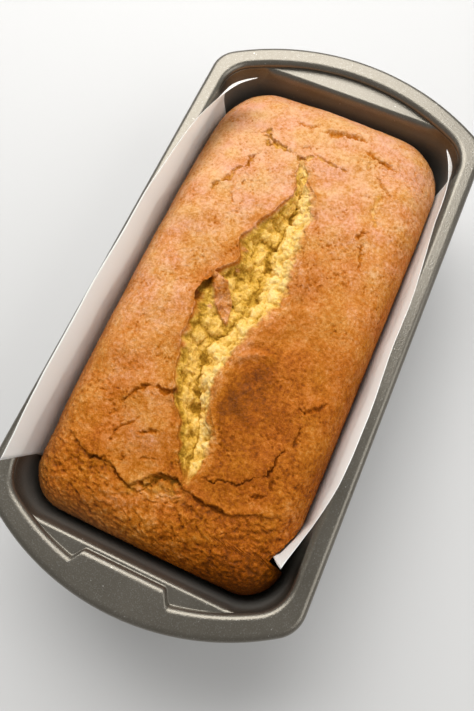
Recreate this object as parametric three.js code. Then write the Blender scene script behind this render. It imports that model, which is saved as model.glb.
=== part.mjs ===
// A pound cake loaf with a burst crust, in its loaf tin, on a sling of parchment paper.
// Units are millimetres. The origin is the centre of the tin's underside. +X runs along the loaf
// to the tin's plain handle, -X to the handle with the raised pad, +Y across the loaf and +Z up.

import * as THREE from 'three';

// ---------------------------------------------------------------- driving dimensions

// The tin: pressed steel sheet, with drafted walls and bowed handles at both ends.
const RIM_HEIGHT = 68;
const SHEET = 0.8;
const DRAFT = Math.tan(THREE.MathUtils.degToRad(7));
const FLOOR_FILLET = 8;
const RIM = { halfLength: 145, halfWidth: 72.7, endRadius: 119.3, cornerRadius: 14.4 };
const OPENING = { halfLength: 134.6, halfWidth: 64, endRadius: 112.4, cornerRadius: 18 };
const LEDGE = { halfLength: 133.8, halfWidth: 63.2, endRadius: 112, cornerRadius: 17 };
const LEDGE_DEPTH = 3.5;
const WELL = { halfLength: 123.2, halfWidth: 62.9, endRadius: 4000, cornerRadius: 20 };
const WELL_TOP = RIM_HEIGHT - 6;
const FLOOR_CORNER_RADIUS = 15;
const BRINK = { inner: 123.5, outer: 124.3 };
const OPENING_ROUND = 1.8;
const BEAD = { radius: 3, drop: 3.1 };
const PAD = { centre: 1, halfWidth: 20.3, edge: 126.6, blend: 1.4, setBack: 0.6 };

// The parchment: a strip over the floor and both long sides, with its ends free above the cake.
const PAPER_THICKNESS = 0.4;
const GAP = 0.3;
const PAPER_END = { floor: 99.5, wall: 101.5, farTop: 103, nearTop: 109, tucked: 100.2 };
const PAPER_FREE_FROM = RIM_HEIGHT - 15;
const LEFT_PAPER_TOP = RIM_HEIGHT + 12.5;
const RIGHT_PAPER_TOP = RIM_HEIGHT + 10;
const PAPER_TUCK = { from: -80, slope: 0.5, fullHeight: 62 };
const PAPER_BEND = { inward: 1.3, outward: 4 };

// The cake: a domed loaf whose crust burst along the middle.
const END_GAP = 2.1;
const CONTACT_REFERENCE = 48;
const CAKE_CORNER_RADIUS = { near: 18, far: 25 };
const SHOULDER = 18;
const DOME_RISE = 7;
const DOME_FALL_ALONG = 12;
const DOME_FALL_ACROSS = 5;
const DOME_TILT = 1.5;
const FAR_CORNER_FALL = 8;
const CONTACT = { drop: 21, riseAlong: 3, riseAcross: 2.5, cornerDrop: 10 };
const LIP_RAISE = 0.18;
const FLANK_BEND = { right: 1.3, left: 2.4 };

// The burst, from its near end to its far end: [x, left lip y, valley y, right lip y, depth].
const BURST = [
  [-87, -5.5, -7.5, -9.5, 0.6],
  [-76, 0.5, -4.5, -11.5, 3.5],
  [-66, 5, -3.5, -11.5, 6],
  [-55, 13.2, 1.5, -4.8, 8],
  [-42, 18.2, 7.5, -3.8, 8.5],
  [-28, 21.4, 8.5, -6, 8.5],
  [-17, 21.5, 4, -9, 8],
  [-7, 24.4, 1, -13.5, 8],
  [3, 21, 0.4, -16, 8.5],
  [13, 13.6, -0.4, -16.3, 9],
  [23, 17.8, 2.6, -14, 8.5],
  [33, 12.6, 0.4, -12.4, 8],
  [43, 8.6, -0.8, -12.8, 7],
  [56, 3.4, 0.2, -7.2, 5.5],
  [66, 6.6, 3.6, -0.5, 3],
  [77, 8.2, 7.4, 6.4, 0.6],
];

// Cracks in the crust: { width, depth, points }.
const CRACKS = [
  { width: 1.6, depth: 1.8, points: [[98, 18], [96.5, 13], [99, 6], [96.5, 1], [97, -6], [100, -17]] },
  { width: 1.4, depth: 1.5, points: [[86, 30], [82, 26.5], [78.5, 19], [76.5, 11], [82, 5], [79, -16]] },
  { width: 1.3, depth: 1.2, points: [[48.5, 36], [58, 34], [62, 30.5], [73.5, 28]] },
  { width: 1.5, depth: 1.2, points: [[94, -20], [91, -32], [80, -31], [62, -35]] },
  { width: 2.4, depth: 3.2, points: [[-93, 13], [-90, 7.5], [-86.5, 3], [-86, -5]] },
  { width: 1.5, depth: 1.6, points: [[-94.5, 35], [-91, 25], [-98, 12], [-93, 6]] },
  { width: 1.6, depth: 1.8, points: [[-81, -14], [-78.5, -26], [-70, -34.5], [-56, -38], [-45, -40.4]] },
  { width: 1.8, depth: 1.6, points: [[-94, -6], [-90.5, -18], [-90.6, -28.5]] },
  { width: 1.4, depth: 1.2, points: [[-66, 33.5], [-60, 29.5], [-56, 23.5], [-50.5, 10]] },
];

// ---------------------------------------------------------------- plan outlines

// A rounded rectangle with bowed ends: an end arc on the X axis, a corner arc and a straight side.
function planArcs({ halfLength, halfWidth, endRadius, cornerRadius }) {
  const endCentre = halfLength - endRadius;
  const cornerY = halfWidth - cornerRadius;
  const reach = endRadius - cornerRadius;
  const cornerX = endCentre + Math.sqrt(reach * reach - cornerY * cornerY);
  const joinAngle = Math.atan2(cornerY, cornerX - endCentre);
  return { endCentre, cornerX, cornerY, joinAngle, joinY: endRadius * Math.sin(joinAngle) };
}

function grow(plan, by) {
  return {
    halfLength: plan.halfLength + by,
    halfWidth: plan.halfWidth + by,
    endRadius: plan.endRadius + by,
    cornerRadius: plan.cornerRadius + by,
  };
}

// How far a ray from a point inside a plan's corner runs before it meets the outline.
function reachOutline(plan, [fromX, fromY], angle) {
  const arcs = planArcs(plan);
  const [cos, sin] = [Math.cos(angle), Math.sin(angle)];
  const toCircle = (centreX, centreY, radius) => {
    const [dx, dy] = [fromX - centreX, fromY - centreY];
    const toward = dx * cos + dy * sin;
    return Math.sqrt(toward * toward - dx * dx - dy * dy + radius * radius) - toward;
  };
  const toEnd = toCircle(arcs.endCentre, 0, plan.endRadius);
  if (fromY + toEnd * sin <= arcs.joinY) return toEnd;
  const toSide = (plan.halfWidth - fromY) / sin;
  if (fromX + toSide * cos <= arcs.cornerX) return toSide;
  return toCircle(arcs.cornerX, arcs.cornerY, plan.cornerRadius);
}

// Stations go once round a plan, counter-clockwise from the middle of the far end. Those of an end
// and a side have a fixed y or x, and those of a corner lie on rays from the corner's pivot.
const PIVOT = [100, 40];
const NEAR_END = [0, 8, 15, 18.9, 20.3, 21.7, 25, 32, PIVOT[1]];
const FAR_END = [0, 12, 24, 32, PIVOT[1]];
const CORNER_ANGLES = [14, 26, 34, 41, 48, 55, 64, 77].map(THREE.MathUtils.degToRad);
const SIDE_PLACES = [PIVOT[0], 50, 0];

function quarterStations(signX, signY) {
  const centre = signX < 0 ? PAD.centre : 0;
  const end = (signX < 0 ? NEAR_END : FAR_END).map((along, i, all) => (
    { signX, end: true, y: i === all.length - 1 ? signY * along : centre + signY * along }
  ));
  const corner = CORNER_ANGLES.map((angle) => ({ signX, signY, angle }));
  const side = SIDE_PLACES.map((x) => ({ signY, x: signX * x }));
  return [...end, ...corner, ...side];
}

function perimeterStations() {
  const farLeft = quarterStations(1, 1);
  const nearLeft = quarterStations(-1, 1).slice(0, -1).reverse();
  const nearRight = quarterStations(-1, -1).slice(1);
  const farRight = quarterStations(1, -1).slice(1, -1).reverse();
  return [...farLeft, ...nearLeft, ...nearRight, ...farRight];
}

function planPoint(plan, station) {
  const { signX, signY } = station;
  if (station.end) {
    const { endCentre } = planArcs(plan);
    return [signX * (endCentre + Math.sqrt(plan.endRadius ** 2 - station.y ** 2)), station.y];
  }
  if (station.x !== undefined) {
    return [station.x, signY * plan.halfWidth];
  }
  const reach = reachOutline(plan, PIVOT, station.angle);
  return [
    signX * (PIVOT[0] + reach * Math.cos(station.angle)),
    signY * (PIVOT[1] + reach * Math.sin(station.angle)),
  ];
}

// ---------------------------------------------------------------- closed bodies

function closedGeometry(points, faces) {
  const volume = faces.reduce((sum, [a, b, c]) => {
    const cross = new THREE.Vector3().crossVectors(points[b], points[c]);
    return sum + points[a].dot(cross) / 6;
  }, 0);
  const outward = volume > 0 ? faces : faces.map(([a, b, c]) => [a, c, b]);
  const geometry = new THREE.BufferGeometry().setFromPoints(points);
  geometry.setIndex(outward.flat());
  geometry.computeVertexNormals();
  return geometry;
}

// Rings of equal length are joined into one skin, which a fan closes at each end.
function ringBody(rings, firstCentre, lastCentre) {
  const count = rings[0].length;
  const points = rings.flat();
  const faces = [];
  for (let r = 0; r + 1 < rings.length; r += 1) {
    for (let i = 0; i < count; i += 1) {
      const next = (i + 1) % count;
      const [a, b] = [r * count + i, r * count + next];
      faces.push([a, b, b + count], [a, b + count, a + count]);
    }
  }
  const lastRow = (rings.length - 1) * count;
  const firstCap = points.push(firstCentre) - 1;
  const lastCap = points.push(lastCentre) - 1;
  for (let i = 0; i < count; i += 1) {
    const next = (i + 1) % count;
    faces.push([firstCap, next, i], [lastCap, lastRow + i, lastRow + next]);
  }
  return closedGeometry(points, faces);
}

// ---------------------------------------------------------------- the loaf tin

function padShare(y, shrink) {
  const outside = Math.abs(y - PAD.centre) - (PAD.halfWidth - shrink);
  return 1 - THREE.MathUtils.smoothstep(outside, -PAD.blend, PAD.blend);
}

// One ring of the tin. endLimit holds the ends back to a straight line, and padEdge brings the
// ring in round the raised pad on the near handle.
function tinRing(stations, { plan, z, endLimit = Infinity, padEdge = null, padShrink = 0 }) {
  return stations.map((station) => {
    const [x, y] = planPoint(plan, station);
    let reach = Math.min(Math.abs(x), endLimit);
    if (padEdge !== null && station.end && station.signX < 0) {
      reach = Math.min(reach, THREE.MathUtils.lerp(reach, padEdge, padShare(y, padShrink)));
    }
    return new THREE.Vector3(Math.sign(x) * reach, y, z);
  });
}

// The well's plan at a height on its drafted wall.
function wellPlan(z, inset = 0) {
  const lean = (WELL_TOP - z) * DRAFT + inset;
  const blend = z / WELL_TOP;
  const corner = THREE.MathUtils.lerp(FLOOR_CORNER_RADIUS, WELL.cornerRadius, blend);
  return {
    halfLength: WELL.halfLength - lean,
    halfWidth: WELL.halfWidth - lean,
    endRadius: WELL.endRadius,
    cornerRadius: corner - inset,
  };
}

const FILLET_CENTRE_Z = SHEET + FLOOR_FILLET;
const FILLET_ANGLES = [30, 60, 90].map(THREE.MathUtils.degToRad);

function tinFillet(radius) {
  const wallInset = FLOOR_FILLET - radius;
  return FILLET_ANGLES.map((angle) => ({
    plan: wellPlan(FILLET_CENTRE_Z, wallInset + radius * (1 - Math.cos(angle))),
    z: FILLET_CENTRE_Z - radius * Math.sin(angle),
  }));
}

// The rounded edge of the opening, about one centre line for the sheet's two faces.
function openingRings(radius, padShrink) {
  return [180, 135, 90].map(THREE.MathUtils.degToRad).map((angle) => {
    const outward = OPENING_ROUND * 0.7 + radius * Math.cos(angle);
    return {
      plan: grow(OPENING, outward),
      z: RIM_HEIGHT - OPENING_ROUND + radius * Math.sin(angle),
      padEdge: PAD.edge + PAD.setBack + outward,
      padShrink,
    };
  });
}

// The rolled edge's bead, from its top round to its bottom.
function beadRings(radius) {
  return [90, 45, 0, -45, -90].map(THREE.MathUtils.degToRad).map((angle) => ({
    plan: grow(RIM, radius * Math.cos(angle) - BEAD.radius),
    z: RIM_HEIGHT - BEAD.drop + radius * Math.sin(angle),
  }));
}

// The tin's section: up its inside, out over the ledge and the flange, round the rolled edge and
// back along its underside. The ledges lie only at the ends, beyond the well's straight brink.
function loafTin() {
  const stations = perimeterStations();
  const ledge = RIM_HEIGHT - LEDGE_DEPTH;
  const underLedge = ledge - SHEET;
  const step = 0.1;
  const inside = [
    ...tinFillet(FLOOR_FILLET).reverse(),
    { plan: wellPlan(FILLET_CENTRE_Z), z: FILLET_CENTRE_Z },
    { plan: wellPlan(WELL_TOP), z: WELL_TOP },
    { plan: LEDGE, z: ledge - SHEET, endLimit: BRINK.inner },
    { plan: LEDGE, z: ledge - step, endLimit: BRINK.outer },
    { plan: LEDGE, z: ledge + step, padEdge: PAD.edge - PAD.setBack },
    { plan: grow(OPENING, -PAD.setBack), z: ledge + SHEET, padEdge: PAD.edge },
    ...openingRings(OPENING_ROUND, 0),
  ];
  const rolledEdge = [...beadRings(BEAD.radius), ...beadRings(BEAD.radius - SHEET).reverse()];
  const underside = [
    ...openingRings(OPENING_ROUND - SHEET, SHEET).reverse(),
    { plan: grow(OPENING, 0.2), z: underLedge, padEdge: PAD.edge + SHEET, padShrink: SHEET },
    { plan: grow(LEDGE, SHEET), z: underLedge - step, endLimit: BRINK.outer + SHEET },
    { plan: wellPlan(WELL_TOP, -SHEET), z: WELL_TOP - step },
    { plan: wellPlan(FILLET_CENTRE_Z, -SHEET), z: FILLET_CENTRE_Z },
    ...tinFillet(FLOOR_FILLET + SHEET),
  ];
  const rings = [...inside, ...rolledEdge, ...underside].map((ring) => tinRing(stations, ring));
  return ringBody(rings, new THREE.Vector3(0, 0, SHEET), new THREE.Vector3(0, 0, 0));
}

// ---------------------------------------------------------------- the parchment

function wellHalfWidth(z) {
  return WELL.halfWidth - (WELL_TOP - z) * DRAFT;
}

// At its near right corner the strip is tucked in off the wall, more towards the top.
function tuck(x) {
  return x < PAPER_TUCK.from ? (PAPER_TUCK.from - x) * PAPER_TUCK.slope : 0;
}

function tuckAt(x, z) {
  const rise = (z - FILLET_CENTRE_Z) / (PAPER_TUCK.fullHeight - FILLET_CENTRE_Z);
  return tuck(x) * THREE.MathUtils.clamp(rise, 0, 1);
}

// A run of straight stretches through its knots: y at x, held level past both ends.
function edgeLine(knots) {
  return (x) => {
    const last = knots.length - 1;
    let i = 1;
    while (i < last && x > knots[i][0]) i += 1;
    const [x0, y0] = knots[i - 1];
    const [x1, y1] = knots[i];
    const share = THREE.MathUtils.clamp((x - x0) / (x1 - x0), 0, 1);
    return y0 + (y1 - y0) * share;
  };
}

// The free top edges lean over the rim in the middle of the loaf and curl in at its ends.
const leftTopEdge = edgeLine([
  [-109, 62.5], [-98, 64.3], [-80, 65.6], [-50, 66.2], [0, 66.2], [35, 64.8], [60, 62.4], [76, 59.4],
  [88, 55], [97, 50], [103, 43.6],
]);
const rightTopEdge = edgeLine([
  [-100.2, 56.2], [-90, 59], [-80, 61.6], [-62, 65], [-45, 66], [0, 65], [40, 64], [64, 62],
  [80, 61.4], [88, 60.3], [96, 57.6], [103, 54.3],
]);

const PAPER_COLUMNS = [-96, -92, -88, -84, -80, -62, -20, 25, 55, 75, 88, 96];
const WALL_ROWS = [FILLET_CENTRE_Z, 31, PAPER_FREE_FROM];
const FREE_SHARES = [0.3, 0.55, 0.8, 1];

// The strip's cut ends stay clear of the tin's corners, and flare out above the cake.
function paperEnd(z, top) {
  if (z <= PAPER_FREE_FROM) {
    return THREE.MathUtils.mapLinear(z, 0, PAPER_FREE_FROM, PAPER_END.floor, PAPER_END.wall);
  }
  return THREE.MathUtils.mapLinear(z, PAPER_FREE_FROM, LEFT_PAPER_TOP, PAPER_END.wall, top);
}

// One side of the strip's section at x, from the floor up: [y, z] at a distance inside the tin.
function paperSide(signY, x, inset) {
  const radius = FLOOR_FILLET - inset;
  const wall = (z) => wellHalfWidth(z) - inset - (signY < 0 ? tuckAt(x, z) : 0);
  const points = [...FILLET_ANGLES].reverse().map((angle) => [
    wall(FILLET_CENTRE_Z) - radius * (1 - Math.cos(angle)),
    FILLET_CENTRE_Z - radius * Math.sin(angle),
  ]);
  WALL_ROWS.forEach((z) => points.push([wall(z), z]));
  const top = signY < 0 ? RIGHT_PAPER_TOP : LEFT_PAPER_TOP;
  const edge = (signY < 0 ? rightTopEdge(x) : leftTopEdge(x)) - inset;
  const lean = edge - wall(top);
  const bend = lean < 0 ? PAPER_BEND.inward : PAPER_BEND.outward;
  FREE_SHARES.forEach((share) => {
    const z = THREE.MathUtils.lerp(PAPER_FREE_FROM, top, share);
    points.push([wall(z) + lean * share ** bend, z]);
  });
  return points;
}

function paperGrid(inset) {
  const column = (place, alongLeft, alongRight) => {
    const side = (signY, along) => paperSide(signY, place, inset).map(([y, z]) => (
      new THREE.Vector3(along(z), signY * y, z)
    ));
    return [...side(-1, alongRight).reverse(), ...side(1, alongLeft)];
  };
  const nearEnd = (z) => -paperEnd(z, PAPER_END.nearTop);
  const farEnd = (z) => paperEnd(z, PAPER_END.farTop);
  return [
    column(-PAPER_END.tucked, nearEnd, () => -PAPER_END.tucked),
    ...PAPER_COLUMNS.map((x) => column(x, () => x, () => x)),
    column(PAPER_END.farTop, farEnd, farEnd),
  ];
}

// A sheet with two faces and an edge all round, from its outer and inner grids of points.
function sheetBody(outer, inner) {
  const columns = outer.length;
  const rows = outer[0].length;
  const points = [...outer.flat(), ...inner.flat()];
  const [lastColumn, lastRow] = [columns - 1, rows - 1];
  const at = (layer, c, r) => layer * columns * rows + c * rows + r;
  const faces = [];
  const quad = (a, b, c, d) => faces.push([a, b, c], [a, c, d]);
  for (let c = 0; c < lastColumn; c += 1) {
    for (let r = 0; r < lastRow; r += 1) {
      quad(at(0, c, r), at(0, c + 1, r), at(0, c + 1, r + 1), at(0, c, r + 1));
      quad(at(1, c, r), at(1, c, r + 1), at(1, c + 1, r + 1), at(1, c + 1, r));
    }
    quad(at(0, c, 0), at(1, c, 0), at(1, c + 1, 0), at(0, c + 1, 0));
    quad(at(0, c + 1, lastRow), at(1, c + 1, lastRow), at(1, c, lastRow), at(0, c, lastRow));
  }
  for (let r = 0; r < lastRow; r += 1) {
    quad(at(0, 0, r + 1), at(1, 0, r + 1), at(1, 0, r), at(0, 0, r));
    const [low, high] = [at(0, lastColumn, r), at(0, lastColumn, r + 1)];
    quad(low, at(1, lastColumn, r), at(1, lastColumn, r + 1), high);
  }
  return closedGeometry(points, faces);
}

function parchment() {
  return sheetBody(paperGrid(GAP), paperGrid(GAP + PAPER_THICKNESS));
}

// ---------------------------------------------------------------- the cake

const PAPER_ROOM = GAP + PAPER_THICKNESS + GAP;
const CAKE_HALF_LENGTH = WELL.halfLength - (WELL_TOP - CONTACT_REFERENCE) * DRAFT - END_GAP;
const CAKE_HALF_WIDTH = wellHalfWidth(CONTACT_REFERENCE) - PAPER_ROOM;
const TUCK_END = -100.5;
const TUCK_ROOM = 1.2;

// How far the tucked paper holds the loaf's right side in, until the paper ends.
function heldIn(x) {
  return x >= TUCK_END ? tuck(x - TUCK_ROOM) : 0;
}

// The radius and centre of the loaf's corners at the end that x is nearer to.
function cornerAt(x) {
  const radius = x < 0 ? CAKE_CORNER_RADIUS.near : CAKE_CORNER_RADIUS.far;
  return { radius, x: CAKE_HALF_LENGTH - radius, y: CAKE_HALF_WIDTH - radius };
}

// Half the loaf's width at x, on the side of signY.
function cakeHalfWidth(x, signY) {
  const corner = cornerAt(x);
  const past = THREE.MathUtils.clamp(Math.abs(x) - corner.x, 0, corner.radius);
  const inset = corner.radius - Math.sqrt(corner.radius ** 2 - past * past);
  return CAKE_HALF_WIDTH - inset - (signY < 0 ? heldIn(x) : 0);
}

function edgeDistance(x, y) {
  const corner = cornerAt(x);
  const ax = Math.abs(x) - corner.x;
  const ay = Math.abs(y) - corner.y;
  if (ax > 0 && ay > 0) return corner.radius - Math.hypot(ax, ay);
  return corner.radius - Math.max(ax, ay);
}

// The crust meets the tin and paper lower at the near end, on the right and in the corners.
function contactHeight(x, y) {
  const along = x / CAKE_HALF_LENGTH;
  const across = y / CAKE_HALF_WIDTH;
  const sides = CONTACT.riseAcross * across * (1 - along * along);
  const corner = CONTACT.cornerDrop * (along * across) ** 6;
  return RIM_HEIGHT - CONTACT.drop + CONTACT.riseAlong * along + sides - corner;
}

function domeHeight(x, y) {
  const along = x / CAKE_HALF_LENGTH;
  const across = y / CAKE_HALF_WIDTH;
  const fall = DOME_FALL_ALONG * Math.abs(along) ** 2.5 + DOME_FALL_ACROSS * across * across;
  const farCorner = FAR_CORNER_FALL * (Math.max(along, 0) * across) ** 4;
  return RIM_HEIGHT + DOME_RISE - fall - farCorner - DOME_TILT * along;
}

function unevenness(x, y) {
  const broad = 0.5 * Math.sin(x / 11 + 1.3) * Math.sin(y / 9 + 0.4);
  const medium = 0.35 * Math.sin(x / 6.1 - y / 7.3 + 2.1);
  const fine = 0.25 * Math.sin(x / 3.7 + y / 5.9);
  return broad + medium + fine;
}

function segmentDistance(x, y, [ax, ay], [bx, by]) {
  const [dx, dy] = [bx - ax, by - ay];
  const share = ((x - ax) * dx + (y - ay) * dy) / (dx * dx + dy * dy);
  const held = THREE.MathUtils.clamp(share, 0, 1);
  return Math.hypot(x - ax - held * dx, y - ay - held * dy);
}

function crackDepth(x, y) {
  return CRACKS.reduce((deepest, { width, depth, points }) => {
    const gaps = points.slice(1).map((end, i) => segmentDistance(x, y, points[i], end));
    return Math.max(deepest, depth * Math.exp(-((Math.min(...gaps) / width) ** 2)));
  }, 0);
}

function shoulderShare(distance) {
  const rest = 1 - THREE.MathUtils.clamp(distance / SHOULDER, 0, 1);
  return Math.sqrt(1 - rest * rest);
}

function crustHeight(x, y) {
  const low = contactHeight(x, y);
  const share = shoulderShare(edgeDistance(x, y));
  const relief = unevenness(x, y) - crackDepth(x, y);
  return low + (domeHeight(x, y) - low) * share + relief * share;
}

// The burst at x: its lips, its valley and its depth, with the lips a little ragged.
function burstAt(x) {
  const last = BURST.length - 1;
  let i = 1;
  while (i < last && x > BURST[i][0]) i += 1;
  const [from, to] = [BURST[i - 1], BURST[i]];
  const share = THREE.MathUtils.clamp((x - from[0]) / (to[0] - from[0]), 0, 1);
  const ease = share * share * (3 - 2 * share);
  const row = from.map((value, k) => THREE.MathUtils.lerp(value, to[k], ease));
  const [, left, valley, right, depth] = row;
  const inside = x > BURST[0][0] && x < BURST[last][0];
  const ragged = inside ? 0.6 * Math.sin(x / 1.9) : 0;
  return { left: left + ragged, valley, right: right - ragged, depth: inside ? depth : 0 };
}

// The crumb laid open by the burst is lumpy.
function crumbLumps(x, y) {
  const small = 0.6 * Math.sin(x / 1.7 + 0.6 * y) * Math.sin(y / 1.5 - 0.4 * x);
  const broad = 0.4 * Math.sin(x / 3.1 + y / 2.3);
  return small + broad;
}

// Rows across the loaf: the right crust, the burst's two flanks and the left crust.
const CRUST_SHARES = [0, 0.013, 0.05, 0.11, 0.19, 0.28, 0.38, 0.48, 0.58, 0.69, 0.8, 0.91];
const FLANK_STEPS = 5;

function cakeRow(x) {
  const burst = burstAt(x);
  const edges = { left: cakeHalfWidth(x, 1), right: -cakeHalfWidth(x, -1) };
  const drop = (share, steepness) => burst.depth * (1 - (1 - share) ** steepness);
  const lumps = (y) => (burst.depth > 1 ? crumbLumps(x, y) : 0);
  const crust = (side) => CRUST_SHARES.map((share) => {
    const y = THREE.MathUtils.lerp(edges[side], burst[side], share);
    return [y, crustHeight(x, y)];
  });
  const flank = (side, steepness) => {
    const points = [];
    for (let i = 0; i < FLANK_STEPS; i += 1) {
      const share = i / FLANK_STEPS;
      const y = THREE.MathUtils.lerp(burst[side], burst.valley, share);
      const raised = burst.depth * LIP_RAISE * (1 - share);
      points.push([y, crustHeight(x, y) + raised - drop(share, steepness) + lumps(y) * share]);
    }
    return points;
  };
  const valley = [burst.valley, crustHeight(x, burst.valley) - burst.depth + lumps(burst.valley)];
  const right = [...crust('right'), ...flank('right', FLANK_BEND.right)];
  const left = [...crust('left'), ...flank('left', FLANK_BEND.left)];
  return [...right, valley, ...left.reverse()];
}

const CORNER_COLUMN_ANGLES = [90, 72, 54, 38, 24, 11, 0];
const MIDDLE_COLUMNS = 78;

function cakeColumns() {
  const corners = (sign) => CORNER_COLUMN_ANGLES.map((degrees) => {
    const corner = cornerAt(sign);
    return sign * (corner.x + corner.radius * Math.sin(THREE.MathUtils.degToRad(degrees)));
  });
  const middle = [];
  for (let i = 0; i < MIDDLE_COLUMNS; i += 1) {
    middle.push(THREE.MathUtils.lerp(TUCK_END, cornerAt(1).x, i / MIDDLE_COLUMNS));
  }
  return [...corners(-1), ...middle, ...corners(1).reverse()];
}

// Moves a point of the loaf outward in plan, fully at the sides and ends and not in the middle.
function moveOut(x, y, z, shift) {
  const corner = cornerAt(x);
  const along = THREE.MathUtils.clamp((Math.abs(x) - corner.x) / corner.radius, 0, 1);
  const side = Math.min(Math.abs(y) / cakeHalfWidth(x, Math.sign(y)), 1);
  const across = Math.sqrt(1 - along * along) * side ** 4;
  return new THREE.Vector3(x + Math.sign(x) * shift * along, y + Math.sign(y) * shift * across, z);
}

function draftShift(z) {
  return (z - CONTACT_REFERENCE) * DRAFT;
}

function cake() {
  const columns = cakeColumns();
  const grid = columns.map((x) => cakeRow(x).map(([y, z]) => [x, y, z]));
  const rows = grid[0].length;
  const last = columns.length - 1;
  const border = [];
  for (let c = 0; c < last; c += 1) {
    border.push([c, 0]);
  }
  for (let r = 0; r < rows - 1; r += 1) {
    border.push([last, r]);
  }
  for (let c = last; c > 0; c -= 1) {
    border.push([c, rows - 1]);
  }
  for (let r = rows - 1; r > 0; r -= 1) {
    border.push([0, r]);
  }

  const points = grid.flat().map(([x, y, z]) => moveOut(x, y, z, draftShift(z)));
  const faces = [];
  for (let c = 0; c < last; c += 1) {
    for (let r = 0; r < rows - 1; r += 1) {
      const a = c * rows + r;
      faces.push([a, a + rows, a + rows + 1], [a, a + rows + 1, a + 1]);
    }
  }
  const radius = FLOOR_FILLET - PAPER_ROOM;
  const skirt = [0, ...FILLET_ANGLES].map((angle) => ({
    z: FILLET_CENTRE_Z - radius * Math.sin(angle),
    shift: draftShift(FILLET_CENTRE_Z) - radius * (1 - Math.cos(angle)),
  }));
  let upper = border.map(([c, r]) => c * rows + r);
  skirt.forEach(({ z, shift }) => {
    const lower = border.map(([c, r]) => {
      const [x, y] = grid[c][r];
      return points.push(moveOut(x, r === 0 ? y - heldIn(x) : y, z, shift)) - 1;
    });
    upper.forEach((a, i) => {
      const next = (i + 1) % upper.length;
      faces.push([a, lower[i], lower[next]], [a, lower[next], upper[next]]);
    });
    upper = lower;
  });
  const base = points.push(new THREE.Vector3(0, 0, points[upper[0]].z)) - 1;
  upper.forEach((a, i) => faces.push([base, upper[(i + 1) % upper.length], a]));
  return closedGeometry(points, faces);
}

// ---------------------------------------------------------------- the part

function piece(name, geometry, finish) {
  const mesh = new THREE.Mesh(geometry, new THREE.MeshStandardMaterial(finish));
  mesh.name = name;
  return mesh;
}

const part = new THREE.Group();
part.add(piece('loaf_tin', loafTin(), { color: 0x4b4743, roughness: 0.42, metalness: 0.7 }));
part.add(piece('parchment', parchment(), { color: 0xe9e0d2, roughness: 0.75, metalness: 0 }));
part.add(piece('pound_cake', cake(), { color: 0xc9823f, roughness: 0.8, metalness: 0 }));

export default part;
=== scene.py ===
"""A pound cake loaf with a burst crust, in its loaf tin, on a parchment sling.

The shapes are worked out in millimetres from the same named sizes as the CAD model, only finer, and
become metres when a mesh is made. +X runs along the loaf to the plain handle and +Z is up.
"""

import itertools
import math
from types import SimpleNamespace

import bpy
import numpy as np
from mathutils import Matrix, Vector


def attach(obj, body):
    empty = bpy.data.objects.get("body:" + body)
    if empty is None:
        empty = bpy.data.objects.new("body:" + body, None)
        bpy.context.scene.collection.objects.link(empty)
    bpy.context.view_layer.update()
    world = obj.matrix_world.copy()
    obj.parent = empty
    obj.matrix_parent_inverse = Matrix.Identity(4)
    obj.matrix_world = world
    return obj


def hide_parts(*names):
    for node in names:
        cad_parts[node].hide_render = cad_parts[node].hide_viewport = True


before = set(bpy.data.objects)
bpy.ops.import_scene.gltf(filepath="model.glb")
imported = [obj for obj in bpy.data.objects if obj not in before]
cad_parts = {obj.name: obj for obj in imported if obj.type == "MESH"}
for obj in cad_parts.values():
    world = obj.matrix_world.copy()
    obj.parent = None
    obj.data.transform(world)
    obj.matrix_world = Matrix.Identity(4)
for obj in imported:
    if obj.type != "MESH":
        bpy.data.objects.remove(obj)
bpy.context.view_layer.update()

MM = 0.001

# ---------------------------------------------------------------- sizes shared with the CAD model

RIM_HEIGHT = 68
SHEET = 0.8
DRAFT = math.tan(math.radians(7))
FLOOR_FILLET = 8
RIM = dict(half_length=145, half_width=72.7, end_radius=119.3, corner_radius=14.4)
OPENING = dict(half_length=134.6, half_width=64, end_radius=112.4, corner_radius=18)
LEDGE = dict(half_length=133.8, half_width=63.2, end_radius=112, corner_radius=17)
LEDGE_DEPTH = 3.5
WELL = dict(half_length=123.2, half_width=62.9, end_radius=4000, corner_radius=20)
WELL_TOP = RIM_HEIGHT - 6
FLOOR_CORNER_RADIUS = 15
BRINK_OUTER = 124.3
BRINK_ROUND = dict(drop=3, reach=1.2)
LEDGE_WIDTHS = (1, 2.5)
LEDGE_RINGS = (0.15, 0.5, 0.85)
LEDGE_UNDERSIDE = dict(outward=0.2, step=0.1)
RISER = dict(root_share=0.94, foot=0.6)
OPENING_ROUND = 3
OPENING_ROUND_CENTRE = 0.7 * OPENING_ROUND
BEAD = dict(radius=3, drop=3.1, turn=(100, -90))
PAD = dict(centre=1, half_width=20.3, edge=126.6, blend=2.4, set_back=0.6)
PIVOT = (100, 40)
FILLET_CENTRE_Z = SHEET + FLOOR_FILLET

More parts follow.
